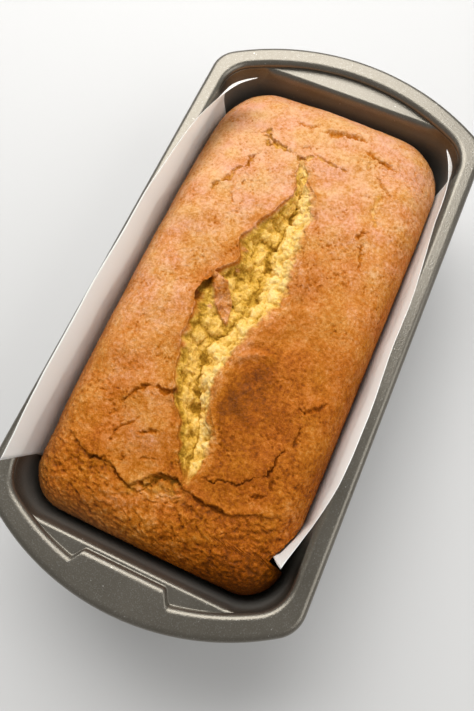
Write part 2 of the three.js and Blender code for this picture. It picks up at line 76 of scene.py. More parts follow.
PAPER_THICKNESS = 0.4
GAP = 0.3
PAPER_END = dict(floor=99.5, wall=101.5, far_top=103, near_top=109, tucked=100.2)
PAPER_FREE_FROM = RIM_HEIGHT - 15
LEFT_PAPER_TOP = RIM_HEIGHT + 12.5
RIGHT_PAPER_TOP = RIM_HEIGHT + 10
PAPER_TUCK = dict(start=-80, slope=0.5, full_height=62)
PAPER_BEND = dict(inward=1.3, rolled=2.6, outward=4)
PAPER_ROLL = (20, 80)
LEFT_TOP_EDGE = [
    (-109, 62.5), (-98, 64.3), (-80, 65.6), (-50, 66.2), (0, 66.2), (35, 64.8), (60, 62.4),
    (76, 59.4), (88, 55), (97, 50), (103, 43.6),
]
RIGHT_TOP_EDGE = [
    (-100.2, 56.2), (-90, 59), (-80, 61.6), (-62, 65), (-45, 66), (0, 65), (40, 64), (64, 62),
    (80, 61.4), (88, 60.3), (96, 57.6), (103, 54.3),
]

END_GAP = 2.1
CONTACT_REFERENCE = 48
CAKE_CORNER_RADIUS = dict(near=18, far=25)
SHOULDER = 18
DOME_RISE = 7
DOME_FALL_ALONG = 12
DOME_FALL_ACROSS = 5
DOME_TILT = 1.5
FAR_CORNER_FALL = 8
CONTACT = dict(drop=21, rise_along=3, rise_across=2.5, corner_drop=10)
LIP_RAISE = 0.18
FLANK_BEND = dict(right=1.3, left=2.4)
TUCK_END = -100.5
TUCK_ROOM = 1.2
TUCK_FADE = 2.5

# The burst, from its near end to its far end: x, left lip y, valley y, right lip y, depth.
BURST = [
    (-87, -5.5, -7.5, -9.5, 0.6),
    (-76, 0.5, -4.5, -11.5, 3.5),
    (-66, 5, -3.5, -11.5, 6),
    (-55, 13.2, 1.5, -4.8, 8),
    (-42, 18.2, 7.5, -3.8, 8.5),
    (-28, 21.4, 8.5, -6, 8.5),
    (-17, 21.5, 4, -9, 8),
    (-7, 24.4, 1, -13.5, 8),
    (3, 21, 0.4, -16, 8.5),
    (13, 13.6, -0.4, -16.3, 9),
    (23, 17.8, 2.6, -14, 8.5),
    (33, 12.6, 0.4, -12.4, 8),
    (43, 8.6, -0.8, -12.8, 7),
    (56, 3.4, 0.2, -7.2, 5.5),
    (66, 6.6, 3.6, -0.5, 3),
    (77, 8.2, 7.4, 6.4, 0.6),
]

# Cracks in the crust: half width, depth, how much yellow crumb shows in them, and their points.
CRACKS = [
    (0.8, 1.6, 0.35, [
        (39, 39.2), (46, 40.8), (50.5, 35.5), (58.6, 34.5), (60.4, 30), (67.6, 30.5), (74.1, 28),
    ]),
    (0.45, 0.8, 0.2, [(49.5, 29), (54, 28.2)]),
    (0.45, 0.8, 0.2, [(45.5, 30.7), (42.6, 30.4), (39.5, 27.4)]),
    (1.2, 0.4, 0.1, [(66.3, 48.3), (71.3, 46.8), (80.2, 45.3), (84, 42.6)]),
    (0.5, 0.5, 0.1, [(82.6, 38.7), (83.7, 34.3)]),
    (1.4, 1.7, 0.7, [(84.6, 32), (87.1, 29.8), (83.5, 27.7), (78.8, 22), (78.7, 19.3), (77.6, 12.5)]),
    (0.7, 1.2, 0.7, [(81.5, 29), (78.5, 26.1), (78.6, 22.5)]),
    (1.0, 1.6, 0.7, [(77.6, 10.9), (76.1, 8.2), (75.8, 6), (79.4, 4.3), (81.7, 2.5)]),
    (0.5, 0.8, 0.4, [(81.6, 11.4), (83.2, 9.5), (84.3, 7.2), (83.4, 4.8)]),
    (0.8, 1.5, 0.4, [(82.6, 5), (80.3, 1), (79.8, -3.4), (79.5, -8.3), (80, -15.9)]),
    (0.9, 1.2, 0.1, [(98.5, 19.8), (98.1, 15.8), (97.7, 11.9), (101.7, 6.9)]),
    (1.3, 2.0, 0.0, [(97.2, 5.2), (99, 1.6), (97.9, -2), (99.4, -6.3), (100, -14.2), (100.5, -17.7)]),
    (1.0, 1.4, 0.0, [(95.2, -19), (93.6, -23.8), (92.7, -27.3), (92.3, -32.7), (91.5, -36)]),
    (0.5, 0.8, 0.6, [(92, -21.1), (89.5, -23), (84.9, -23.6)]),
    (0.6, 1.0, 0.3, [(83.5, -28.5), (80.4, -31.4), (77.5, -34.5), (75.2, -37.4), (75.3, -40.5)]),
    (1.2, 0.7, 0.7, [(76, -33), (67.9, -33.7), (63.8, -33.1), (59.9, -35), (54, -38.6)]),
    (0.9, 1.4, 0.1, [(46, -31.6), (48.7, -33), (50.5, -35)]),
    (0.5, 1.0, 0.1, [(44.7, -34.5), (41.6, -35.1), (37.3, -36.7), (33.8, -37.6), (29.8, -38.4)]),
    (0.4, 0.8, 0.0, [(25.8, -43.3), (22, -43.3)]),
    (0.7, 1.5, 0.0, [(-67, 33.2), (-62.7, 30.2), (-59.6, 28.3), (-57.2, 26.1), (-55.8, 23.9), (-56.7, 22.5)]),
    (1.1, 2.2, 0.0, [
        (-55.8, 22.6), (-55.2, 20.3), (-55.6, 17.7), (-54.8, 14.8), (-53.4, 12.6), (-50.3, 9.6),
    ]),
    (0.4, 0.7, 0.0, [(-65.3, 43.3), (-64.3, 39.4)]),
    (0.5, 1.1, 0.0, [(-79.8, 30.3), (-77.2, 28.2), (-75.2, 26.8), (-73.4, 24.8), (-69.6, 22.4)]),
    (0.45, 0.9, 0.0, [(-74.3, 35.6), (-72.3, 34.1), (-71.1, 32.3)]),
    (0.6, 1.3, 0.0, [(-75.6, 20.2), (-74.3, 17.2), (-72.9, 15), (-71.5, 11.8)]),
    (0.45, 0.9, 0.0, [(-82.8, 29.8), (-81.6, 28)]),
    (0.7, 1.4, 0.0, [(-94.4, 34.8), (-92.4, 33.3), (-90.9, 28.7), (-90, 26.6)]),
    (0.45, 0.9, 0.0, [(-88.9, 23), (-87.1, 20.8)]),
    (0.45, 0.7, 0.0, [(-85.4, 16), (-83.5, 10.4), (-82, 8)]),
    (0.7, 1.3, 0.1, [(-92.3, 26.5), (-92.7, 23.4), (-96.2, 18.4), (-98.4, 11.2), (-97.7, 7.8), (-92.2, 6.2)]),
    (1.2, 1.8, 0.3, [(-95.4, 12.1), (-94.1, 7.8), (-90.9, 5.9), (-88.2, 3.2), (-88, -1.2), (-87.3, -6.4)]),
    (0.5, 1.2, 0.0, [
        (-81.7, -12.6), (-81.8, -17.3), (-79, -20.6), (-78.6, -26.3), (-75.3, -29.8), (-71.8, -33.4),
    ]),
    (0.6, 1.4, 0.0, [
        (-72, -35), (-70.2, -36.1), (-67.9, -37.3), (-64.1, -37), (-60.8, -37.4), (-56.2, -38.6),
    ]),
    (0.5, 1.1, 0.0, [(-54.8, -41.6), (-53.3, -41), (-51.1, -41.9), (-47.6, -41.3), (-44.6, -41.8)]),
    (0.5, 1.1, 0.0, [
        (-41, -36), (-39.2, -38.7), (-39.6, -40.7), (-37.8, -42.7), (-35.2, -44.9), (-31, -48.4),
    ]),
    (0.8, 1.1, 0.1, [
        (-89, -10.8), (-91, -14.3), (-90.9, -17.4), (-90.8, -20.5), (-90.5, -24), (-91.2, -28.6),
    ]),
    (0.6, 1.0, 0.0, [(-80.3, -33.2), (-77.5, -38.5)]),
    (0.6, 1.0, 0.0, [(-70, -38.7), (-73.2, -39.2), (-74.8, -41.2)]),
]

# ---------------------------------------------------------------- noise and small helpers


def lerp(a, b, share):
    return a + (b - a) * share


def smoothstep(low, high, value):
    share = np.clip((value - low) / (high - low), 0, 1)
    return share * share * (3 - 2 * share)


def bell(value, width):
    return np.exp(-((value / width) ** 2))


def spots(x, y, places):
    """A sum of soft spots: x, y, reach (or the reach along x and along y) and strength of each."""
    total = 0
    for spot_x, spot_y, reach, strength in places:
        along, across = np.broadcast_to(reach, 2)
        total = total + strength * np.exp(-(((x - spot_x) / along) ** 2 + ((y - spot_y) / across) ** 2))
    return total


def lattice(cell, seed):
    """One number from 0 to 1 for each whole-numbered cell, always the same for the same seed."""
    mixed = cell[..., 0] * 374761393 + cell[..., 1] * 668265263 + cell[..., 2] * 1442695041 + seed * 362437
    mixed = (mixed ^ (mixed >> 13)) & 0x7FFFFFFF
    mixed = (mixed * 1274126177) & 0x7FFFFFFF
    mixed = (mixed ^ (mixed >> 15)) & 0xFFFFFF
    return mixed / 0xFFFFFF


def noise(points, scale, seed):
    """Smooth noise from -1 to 1, with features of about the given size in millimetres."""
    place = points / np.asarray(scale, float)
    cell = np.floor(place).astype(np.int64)
    inside = place - cell
    inside = inside ** 3 * (inside * (inside * 6 - 15) + 10)
    total = 0
    for step in itertools.product((0, 1), repeat=3):
        weight = np.prod(np.where(step, inside, 1 - inside), axis=-1)
        total = total + weight * lattice(cell + step, seed)
    return total * 2 - 1


def fractal(points, scale, octaves, seed):
    """Noise with finer and weaker noise added to it, from about -1 to 1."""
    total, weight, most = 0, 1, 0
    for octave in range(octaves):
        total = total + weight * noise(points, np.asarray(scale, float) / 2 ** octave, seed + octave)
        most += weight
        weight /= 2
    return total / most


def layers(points, waves):
    """A sum of noises: height, size, octaves and seed of each."""
    return sum(height * fractal(points, *wave) for height, *wave in waves)


def lumps(points, scale, seed):
    """Rounded lumps, 1 at the middle of each and falling to about 0 in the creases between them."""
    place = points / scale
    cell = np.floor(place).astype(np.int64)
    nearest = np.full(place.shape[:-1], 9.0)
    for step in itertools.product((-1, 0, 1), repeat=3):
        corner = cell + step
        middle = corner + np.stack([lattice(corner, seed + axis) for axis in range(3)], axis=-1)
        nearest = np.minimum(nearest, ((place - middle) ** 2).sum(-1))
    return np.clip(1 - nearest, 0, 1)


def line_distance(x, y, points):
    """Distance from a run of straight stretches, and the share of its length passed there."""
    points = np.asarray(points, float)
    lengths = np.hypot(*np.diff(points, axis=0).T)
    passed = np.concatenate([[0], np.cumsum(lengths)])
    nearest = np.full(x.shape, 1e9)
    share = np.zeros(x.shape)
    for i, length in enumerate(lengths):
        way_x, way_y = (points[i + 1] - points[i]) / length
        dx, dy = x - points[i][0], y - points[i][1]
        along = np.clip(dx * way_x + dy * way_y, 0, length)
        gap = np.hypot(dx - along * way_x, dy - along * way_y)
        closer = gap < nearest
        nearest = np.where(closer, gap, nearest)
        share = np.where(closer, (passed[i] + along) / passed[-1], share)
    return nearest, share


def smooth_line(knots, x):
    """A curve through its knots without overshoot, at x."""
    knots = np.asarray(knots, float)
    slopes = np.diff(knots[:, 1]) / np.diff(knots[:, 0])
    tangents = np.concatenate([[slopes[0]], (slopes[1:] + slopes[:-1]) / 2, [slopes[-1]]])
    held = np.clip(x, knots[0, 0], knots[-1, 0])
    i = np.clip(np.searchsorted(knots[:, 0], held) - 1, 0, len(slopes) - 1)
    width = knots[i + 1, 0] - knots[i, 0]
    t = (held - knots[i, 0]) / width
    start = knots[i, 1] * (2 * t ** 3 - 3 * t ** 2 + 1) + tangents[i] * width * (t ** 3 - 2 * t ** 2 + t)
    return start + knots[i + 1, 1] * (3 * t ** 2 - 2 * t ** 3) + tangents[i + 1] * width * (t ** 3 - t ** 2)


def grid_normals(grid):
    along = np.gradient(grid, axis=0)
    across = np.gradient(grid, axis=1)
    normal = np.cross(along, across)
    return normal / np.maximum(np.linalg.norm(normal, axis=-1, keepdims=True), 1e-9)


def grid_faces(columns, rows):
    """The quads of a grid of points, and the points round its border in order."""
    index = np.arange(columns * rows).reshape(columns, rows)
    quads = np.stack([index[:-1, :-1], index[1:, :-1], index[1:, 1:], index[:-1, 1:]], axis=-1)
    border = np.concatenate([index[:-1, 0], index[-1, :-1], index[:0:-1, -1], index[0, :0:-1]])
    return quads.reshape(-1, 4), border


def add_object(name, data):
    made = bpy.data.objects.new(name, data)
    bpy.context.scene.collection.objects.link(made)
    return made


def make_mesh(name, points, faces, replaced, attributes=None):
    """A smooth object of the root body from points in millimetres and faces of three or four corners."""
    mesh = bpy.data.meshes.new(name)
    corners = np.concatenate([np.asarray(group).ravel() for group in faces])
    sizes = np.concatenate([np.full(len(group), np.shape(group)[1]) for group in faces])
    mesh.vertices.add(len(points))
    mesh.vertices.foreach_set("co", (np.asarray(points) * MM).astype(np.float32).ravel())
    mesh.loops.add(len(corners))
    mesh.loops.foreach_set("vertex_index", corners.astype(np.int32))
    mesh.polygons.add(len(sizes))
    mesh.polygons.foreach_set("loop_start", (np.cumsum(sizes) - sizes).astype(np.int32))
    mesh.update(calc_edges=True)
    mesh.validate()
    mesh.shade_smooth()
    for key, values in (attributes or {}).items():
        attribute = mesh.attributes.new(key, "FLOAT", "POINT")
        attribute.data.foreach_set("value", np.asarray(values, np.float32))
    made = add_object(name, mesh)
    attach(made, "root")
    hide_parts(replaced)
    return made


# ---------------------------------------------------------------- materials


def new_material(name):
    material = bpy.data.materials.new(name)
    material.use_nodes = True
    return material, material.node_tree, material.node_tree.nodes["Principled BSDF"]


def feed(tree, node, inputs):
    """Links the sockets among the values to the node's inputs, and sets the constants on them."""
    for key, value in inputs.items():
        if isinstance(value, bpy.types.NodeSocket):
            tree.links.new(value, node.inputs[key])
        else:
            node.inputs[key].default_value = value


def add_node(tree, kind, inputs=None, **settings):
    node = tree.nodes.new(kind)
    for key, value in settings.items():
        setattr(node, key, value)
    feed(tree, node, inputs or {})
    return node


def object_place(tree):
    return add_node(tree, "ShaderNodeTexCoord").outputs["Object"]


def texture_noise(tree, place, size, detail=2.0, roughness=0.5):
    """Noise from 0 to 1 with features of about the given size in millimetres."""
    inputs = {"Vector": place, "Scale": 1 / (size * MM), "Detail": detail, "Roughness": roughness}
    return add_node(tree, "ShaderNodeTexNoise", inputs).outputs["Fac"]


def attribute(tree, name):
    return add_node(tree, "ShaderNodeAttribute", attribute_name=name).outputs["Fac"]


def maths(tree, operation, a, b=0.5, clamp=False):
    node = add_node(tree, "ShaderNodeMath", {0: a, 1: b}, operation=operation, use_clamp=clamp)
    return node.outputs[0]


def map_range(tree, value, low, high, to_low=0.0, to_high=1.0):
    inputs = {"Value": value, "From Min": low, "From Max": high, "To Min": to_low, "To Max": to_high}
    return add_node(tree, "ShaderNodeMapRange", inputs).outputs["Result"]


def mix_colour(tree, share, a, b, blend="MIX"):
    inputs = {"Factor": share, 6: a, 7: b}
    return add_node(tree, "ShaderNodeMix", inputs, data_type="RGBA", blend_type=blend).outputs[2]


def ramp(tree, value, stops):
    node = add_node(tree, "ShaderNodeValToRGB", {"Fac": value})
    elements = node.color_ramp.elements
    while len(elements) < len(stops):
        elements.new(0.5)
    for element, (place, colour) in zip(elements, stops):
        element.position = place
        element.color = (*colour, 1)
    return node.outputs["Color"]


def bump(tree, height, distance, normal=None):
    inputs = {"Height": height, "Distance": distance * MM, "Strength": 1.0}
    if normal is not None:
        inputs["Normal"] = normal
    return add_node(tree, "ShaderNodeBump", inputs).outputs["Normal"]


def share_of(tree, value, most):
    return maths(tree, "MULTIPLY", value, most)


def vary(tree, value, noise_value, change):
    """The value with noise added, which runs from minus to plus the given change."""
    return maths(tree, "ADD", value, map_range(tree, noise_value, 0, 1, -change, change))


TIN_DARK = (0.136, 0.123, 0.100, 1)
TIN_LIGHT = (0.178, 0.162, 0.134, 1)
TIN_GLINT = (0.32, 0.31, 0.29, 1)
TIN_RESIDUE = (0.55, 0.53, 0.5, 1)
TIN_WELL_PAINTED_LIGHT = (0.33, 0.33, 0.31, 1)
# Heights in millimetres between which the well's painted light and extra roughness fade in, going down.
WELL_HEIGHTS = (63, 57)


def tin_material():
    material, tree, shader = new_material("tin_nonstick")
    place = object_place(tree)
    sparkle = texture_noise(tree, place, 0.55, detail=2.0)
    cloud = texture_noise(tree, place, 18, detail=3.0)
    specks = texture_noise(tree, place, 1.3, detail=1.0)
    base = mix_colour(tree, cloud, TIN_DARK, TIN_LIGHT)
    base = mix_colour(tree, share_of(tree, map_range(tree, sparkle, 0.55, 0.75), 0.5), base, TIN_GLINT)
    base = mix_colour(tree, share_of(tree, map_range(tree, specks, 0.75, 0.8), 0.7), base, TIN_RESIDUE)
    height = add_node(tree, "ShaderNodeSeparateXYZ", {"Vector": place}).outputs["Z"]
    in_well = map_range(tree, height, *(level * MM for level in WELL_HEIGHTS))
    # Painted light: the well's walls are mixed toward a paler grey where they catch the light; their extra
    # roughness is the coating's own.
    base = mix_colour(tree, share_of(tree, in_well, 0.5), base, TIN_WELL_PAINTED_LIGHT)
    rough = map_range(tree, cloud, 0.3, 0.7, 0.28, 0.32)
    rough = maths(tree, "ADD", rough, share_of(tree, in_well, 0.2))
    normal = bump(tree, sparkle, 0.08)
    feed(tree, shader, {"Base Color": base, "Metallic": 0.8, "Roughness": rough, "Normal": normal})
    return material


PAPER_DIM = (0.94, 0.965, 0.86, 1)
PAPER_PALE = (0.965, 0.99, 0.89, 1)
PAPER_FIBRE = (0.76, 0.72, 0.64, 1)


def paper_material():
    material, tree, shader = new_material("parchment_paper")
    place = object_place(tree)
    fibre = texture_noise(tree, place, 0.9, detail=3.0)
    cloud = texture_noise(tree, place, 22, detail=2.0)
    base = mix_colour(tree, cloud, PAPER_DIM, PAPER_PALE)
    base = mix_colour(tree, share_of(tree, fibre, 0.08), base, PAPER_FIBRE)
    feed(tree, shader, {
        "Base Color": base,
        "Roughness": 0.6,
        "Subsurface Weight": 0.8,
        "Subsurface Radius": (1.0, 1.0, 0.95),
        "Subsurface Scale": 1.0 * MM,
        "Normal": bump(tree, fibre, 0.02),
    })
    return material


CRUST_STOPS = [
    (0.0, (0.77, 0.46, 0.30)),
    (0.25, (0.70, 0.355, 0.18)),
    (0.42, (0.58, 0.228, 0.056)),
    (0.6, (0.465, 0.137, 0.008)),
    (0.78, (0.30, 0.074, 0.001)),
    (1.0, (0.14, 0.034, 0.001)),
]
CRUMB_STOPS = [
    (0.0, (0.27, 0.13, 0.008)),
    (0.3, (0.53, 0.29, 0.034)),
    (0.6, (0.74, 0.45, 0.10)),
    (0.82, (0.80, 0.545, 0.165)),
    (1.0, (0.83, 0.61, 0.24)),
]
GOLDEN = (0.96, 1.01, 0.80, 1)
ROSY = (0.97, 0.93, 1.03, 1)
PAINTED_SHADE_BROWN = (0.34, 0.18, 0.09, 1)


def cake_material():
    material, tree, shader = new_material("baked_crust_and_crumb")
    place = object_place(tree)
    patches = texture_noise(tree, place, 14, detail=2.0)
    medium = texture_noise(tree, place, 6, detail=3.0)
    pebbles = texture_noise(tree, place, 2.8, detail=3.0)
    fine = texture_noise(tree, place, 1.5, detail=4.0, roughness=0.7)
    grains = texture_noise(tree, place, 0.8, detail=2.0)
    # The crust's colour follows its browning together with the painted shade and painted light added to it.
    baked_and_shaded = attribute(tree, "bake_and_shading")
    for noise_value, change in ((medium, 0.15), (pebbles, 0.20), (fine, -0.45)):
        baked_and_shaded = vary(tree, baked_and_shaded, noise_value, change)
    crust = ramp(tree, baked_and_shaded, CRUST_STOPS)
    hue = mix_colour(tree, map_range(tree, patches, 0.35, 0.65), GOLDEN, ROSY)
    crust = mix_colour(tree, 1.0, crust, hue, blend="MULTIPLY")
    # Painted shade: a darker, duller brown along the left and far shoulders, where the cake meets the paper
    # and the tin wall.
    crust = mix_colour(tree, attribute(tree, "edge_shade"), crust, PAINTED_SHADE_BROWN)
    # The crumb's lightness carries painted shade in its creases, valley and left flank, and painted light on
    # its lumps.
    light = vary(tree, attribute(tree, "lightness"), fine, 0.36)
    crumb = ramp(tree, vary(tree, light, grains, 0.3), CRUMB_STOPS)
    crumb_share = attribute(tree, "crumb")
    base = mix_colour(tree, crumb_share, crust, crumb)
    rough = map_range(tree, maths(tree, "MAXIMUM", crumb_share, attribute(tree, "crack")), 0, 1, 0.36, 0.9)
    crust_share = map_range(tree, crumb_share, 0, 1, 1, 0.3)
    normal = bump(tree, share_of(tree, fine, crust_share), 0.6)
    normal = bump(tree, share_of(tree, pebbles, crust_share), 0.5, normal)
    normal = bump(tree, grains, 0.25, normal)
    feed(tree, shader, {
        "Base Color": base,
        "Roughness": rough,
        "Specular IOR Level": 0.1,
        "Subsurface Weight": 0.06,
        "Subsurface Radius": (1.0, 0.5, 0.2),
        "Subsurface Scale": 1.5 * MM,
        "Normal": normal,
    })
    return material


# ---------------------------------------------------------------- the loaf tin


def plan_arcs(plan):
    end_centre = plan["half_length"] - plan["end_radius"]
    corner_y = plan["half_width"] - plan["corner_radius"]
    reach = plan["end_radius"] - plan["corner_radius"]
    corner_x = end_centre + math.sqrt(reach * reach - corner_y * corner_y)
    join_angle = math.atan2(corner_y, corner_x - end_centre)
    return end_centre, corner_x, corner_y, plan["end_radius"] * math.sin(join_angle)


def grow(plan, by):
    return {key: value + by for key, value in plan.items()}


def reach_outline(plan, angle):
    """How far a ray from the pivot inside a plan's corner runs before it meets the outline."""
    end_centre, corner_x, corner_y, join_y = plan_arcs(plan)
    cos, sin = math.cos(angle), math.sin(angle)

    def to_circle(centre_x, centre_y, radius):
        dx, dy = PIVOT[0] - centre_x, PIVOT[1] - centre_y
        toward = dx * cos + dy * sin
        return math.sqrt(toward * toward - dx * dx - dy * dy + radius * radius) - toward

    to_end = to_circle(end_centre, 0, plan["end_radius"])
    if PIVOT[1] + to_end * sin <= join_y:
        return to_end
    to_side = (plan["half_width"] - PIVOT[1]) / sin
    if PIVOT[0] + to_side * cos <= corner_x:
        return to_side
    return to_circle(corner_x, corner_y, plan["corner_radius"])


END_STEPS = 80
CORNER_STEPS = 36
SIDE_STEPS = 24
TIN_STEPS = dict(fillet=8, wall=8, brink=8, riser=4, round=8, under_round=6, bead=18, under_bead=12)


def outline(plan):
    """A plan's points in order, mirrored from its far left quarter: end, corner and side."""
    end_y = np.linspace(0, PIVOT[1], END_STEPS + 1)
    end_x = plan["half_length"] - plan["end_radius"] + np.sqrt(plan["end_radius"] ** 2 - end_y ** 2)
    rays = np.array(arc_angles(0, 90, CORNER_STEPS)[1:-1])
    reach = [reach_outline(plan, ray) for ray in rays]
    side_x = np.linspace(PIVOT[0], 0, SIDE_STEPS + 1)
    x = np.concatenate([end_x, PIVOT[0] + reach * np.cos(rays), side_x])
    y = np.concatenate([end_y, PIVOT[1] + reach * np.sin(rays), np.full(len(side_x), plan["half_width"])])
    quarter = np.stack([x, y], axis=1)
    near_left, far_right = quarter * (-1, 1), quarter * (1, -1)
    return np.concatenate([quarter, near_left[-2::-1], -quarter[1:], far_right[-2:0:-1]])


def tin_ring(plan, z, end_limit=math.inf, pad_edge=None, pad_shrink=0):
    """One ring of the tin. The pad brings the ring in on the near handle."""
    x, y = outline(plan).T
    reach = np.minimum(np.abs(x), end_limit)
    if pad_edge is not None:
        outside = np.abs(y - PAD["centre"]) - (PAD["half_width"] - pad_shrink)
        share = 1 - smoothstep(-PAD["blend"], PAD["blend"], outside)
        reach = np.where(x < 0, np.minimum(reach, lerp(reach, pad_edge, share)), reach)
    return np.column_stack([np.copysign(reach, x), y, np.full_like(x, z)])


def well_plan(z, inset=0):
    lean = (WELL_TOP - z) * DRAFT + inset
    corner = lerp(FLOOR_CORNER_RADIUS, WELL["corner_radius"], z / WELL_TOP)
    return dict(
        half_length=WELL["half_length"] - lean,
        half_width=WELL["half_width"] - lean,
        end_radius=WELL["end_radius"],
        corner_radius=corner - inset,
    )


def arc_angles(start, stop, steps):
    return [math.radians(lerp(start, stop, i / steps)) for i in range(steps + 1)]


def swept(start, end, outward, upward):
    """A ring between two others, with its own shares of the way outward and of the way up."""
    plan = lerp(start[:, :2], end[:, :2], np.reshape(outward, (-1, 1)))
    return np.column_stack([plan, lerp(start[:, 2], end[:, 2], upward)])


def tin_rings():
    """The tin's section from the floor's inside, out over the rolled edge and back underneath."""
    ledge = RIM_HEIGHT - LEDGE_DEPTH
    rings = []

    def ring(plan, z, **limits):
        rings.append(tin_ring(plan, z, **limits))

    def fillet(radius, angles):
        for angle in angles:
            inset = FLOOR_FILLET - radius + radius * (1 - math.cos(angle))
            ring(well_plan(FILLET_CENTRE_Z, inset), FILLET_CENTRE_Z - radius * math.sin(angle))

    def opening_edge(radius, angles, pad_shrink):
        for angle in angles:
            outward = OPENING_ROUND_CENTRE + radius * math.cos(angle)
            z = RIM_HEIGHT - OPENING_ROUND + radius * math.sin(angle)
            pad_edge = PAD["edge"] + PAD["set_back"] + outward
            ring(grow(OPENING, outward), z, pad_edge=pad_edge, pad_shrink=pad_shrink)

    def bead(radius, angles):
        for angle in angles:
            plan = grow(RIM, radius * math.cos(angle) - BEAD["radius"])
            ring(plan, RIM_HEIGHT - BEAD["drop"] + radius * math.sin(angle))

    steps = TIN_STEPS
    fillet(FLOOR_FILLET, arc_angles(90, 0, steps["fillet"]))
    wall_end = WELL_TOP - BRINK_ROUND["drop"]
    for z in np.linspace(FILLET_CENTRE_Z, wall_end, steps["wall"])[1:-1]:
        ring(well_plan(z), z)
    wall_top = tin_ring(well_plan(wall_end), wall_end)
    brink = tin_ring(LEDGE, ledge, end_limit=BRINK_OUTER + BRINK_ROUND["reach"])
    ledge_share = smoothstep(*LEDGE_WIDTHS, np.hypot(*(brink - wall_top)[:, :2].T))
    for angle in arc_angles(0, 90, steps["brink"]):
        outward = lerp(math.sin(angle), 1 - math.cos(angle), ledge_share)
        rings.append(swept(wall_top, brink, outward, math.sin(angle)))
    pad_foot = tin_ring(LEDGE, ledge, pad_edge=PAD["edge"] - PAD["set_back"])
    root = lerp(brink, pad_foot, RISER["root_share"])
    riser_plan = grow(OPENING, -PAD["set_back"])
    riser = tin_ring(riser_plan, ledge + RISER["foot"], pad_edge=PAD["edge"])
    rings.extend(lerp(brink, root, share) for share in LEDGE_RINGS)
    for angle in arc_angles(0, 90, steps["riser"]):
        rings.append(swept(root, riser, math.sin(angle), 1 - math.cos(angle)))
    opening_edge(OPENING_ROUND, arc_angles(180, 90, steps["round"]), 0)
    bead(BEAD["radius"], arc_angles(*BEAD["turn"], steps["bead"]))
    bead(BEAD["radius"] - SHEET, arc_angles(*BEAD["turn"][::-1], steps["under_bead"]))
    opening_edge(OPENING_ROUND - SHEET, arc_angles(90, 180, steps["under_round"]), SHEET)
    under = grow(OPENING, LEDGE_UNDERSIDE["outward"])
    ring(under, ledge - SHEET, pad_edge=PAD["edge"] + SHEET, pad_shrink=SHEET)
    ring(grow(LEDGE, SHEET), ledge - SHEET - LEDGE_UNDERSIDE["step"], end_limit=BRINK_OUTER + SHEET)
    for z in np.linspace(WELL_TOP - LEDGE_UNDERSIDE["step"], FILLET_CENTRE_Z, steps["wall"]):
        ring(well_plan(z, -SHEET), z)
    fillet(FLOOR_FILLET + SHEET, arc_angles(0, 90, steps["fillet"])[1:])
    return rings


def ring_faces(count, rings):
    """Quads of a skin of rings, and a fan at each end onto two last points."""
    start = np.arange(count)
    following = (start + 1) % count
    quads = []
    for r in range(rings - 1):
        low, high = r * count, (r + 1) * count
        quads.append(np.stack([low + start, high + start, high + following, low + following], axis=1))
    first, last = rings * count, rings * count + 1
    top = (rings - 1) * count
    fans = [
        np.stack([np.full(count, first), start, following], axis=1),
        np.stack([np.full(count, last), top + following, top + start], axis=1),
    ]
    return [np.concatenate(quads), np.concatenate(fans)]


def make_tin():
    rings = tin_rings()
    points = np.concatenate([*rings, [(0, 0, SHEET), (0, 0, 0)]])
    tin = make_mesh("tin_body", points, ring_faces(len(rings[0]), len(rings)), "loaf_tin")
    tin.data.materials.append(tin_material())
    return tin


# ---------------------------------------------------------------- the parchment

PAPER_SHOWN_THICKNESS = 0.14
PAPER_MIDDLE = 96
PAPER_COLUMNS = dict(middle=170, end=6)
PAPER_ROWS = dict(floor=12, fillet=6, wall=14, free=22)
TUCKED_END = dict(foot=96.6, top=100.8)
LOOSE_HEIGHTS = (FILLET_CENTRE_Z, RIM_HEIGHT + 8)
LOOSE_STRETCH = (1, 1, 0.35)
LOOSE_WAVES = [(0.5, 26, 2, 11)]
CREASES = [(0.08, 7, 2, 12)]


def well_half_width(z):
    return WELL["half_width"] - (WELL_TOP - z) * DRAFT


def tuck(x):
    return np.maximum(PAPER_TUCK["start"] - x, 0) * PAPER_TUCK["slope"]


def paper_end(z, top):
    wall = lerp(PAPER_END["floor"], PAPER_END["wall"], z / PAPER_FREE_FROM)
    free = (z - PAPER_FREE_FROM) / (LEFT_PAPER_TOP - PAPER_FREE_FROM)
    return np.where(z <= PAPER_FREE_FROM, wall, lerp(PAPER_END["wall"], top, free))


def paper_side(sign_y, x, inset):
    """One side of the sheet's section at each x, from the floor up: arrays of y and z."""
    radius = FLOOR_FILLET - inset
    free = np.linspace(0, 1, PAPER_ROWS["free"] + 1)[1:]
    top = RIGHT_PAPER_TOP if sign_y < 0 else LEFT_PAPER_TOP
    edge_line = RIGHT_TOP_EDGE if sign_y < 0 else LEFT_TOP_EDGE
    held_z = np.linspace(FILLET_CENTRE_Z, PAPER_FREE_FROM, PAPER_ROWS["wall"])

    def wall(height):
        held = tuck(x) if sign_y < 0 else 0 * x
        rise = (height - FILLET_CENTRE_Z) / (PAPER_TUCK["full_height"] - FILLET_CENTRE_Z)
        return well_half_width(height) - inset - held * np.clip(rise, 0, 1)

    lean = smooth_line(edge_line, x) - inset - wall(top)
    rolled = lerp(PAPER_BEND["inward"], PAPER_BEND["rolled"], smoothstep(*PAPER_ROLL, x))
    bend = np.where(lean < 0, rolled, PAPER_BEND["outward"])
    rows = []
    for angle in arc_angles(90, 0, PAPER_ROWS["fillet"])[:-1]:
        y = wall(FILLET_CENTRE_Z) - radius * (1 - math.cos(angle))
        rows.append((y, np.full_like(x, FILLET_CENTRE_Z - radius * math.sin(angle))))
    for height in [*held_z, *lerp(PAPER_FREE_FROM, top, free)]:
        share = max(height - PAPER_FREE_FROM, 0) / (top - PAPER_FREE_FROM)
        rows.append((wall(height) + lean * share ** bend, np.full_like(x, height)))
    y, z = (np.array(values).T for values in zip(*rows))
    return y, z


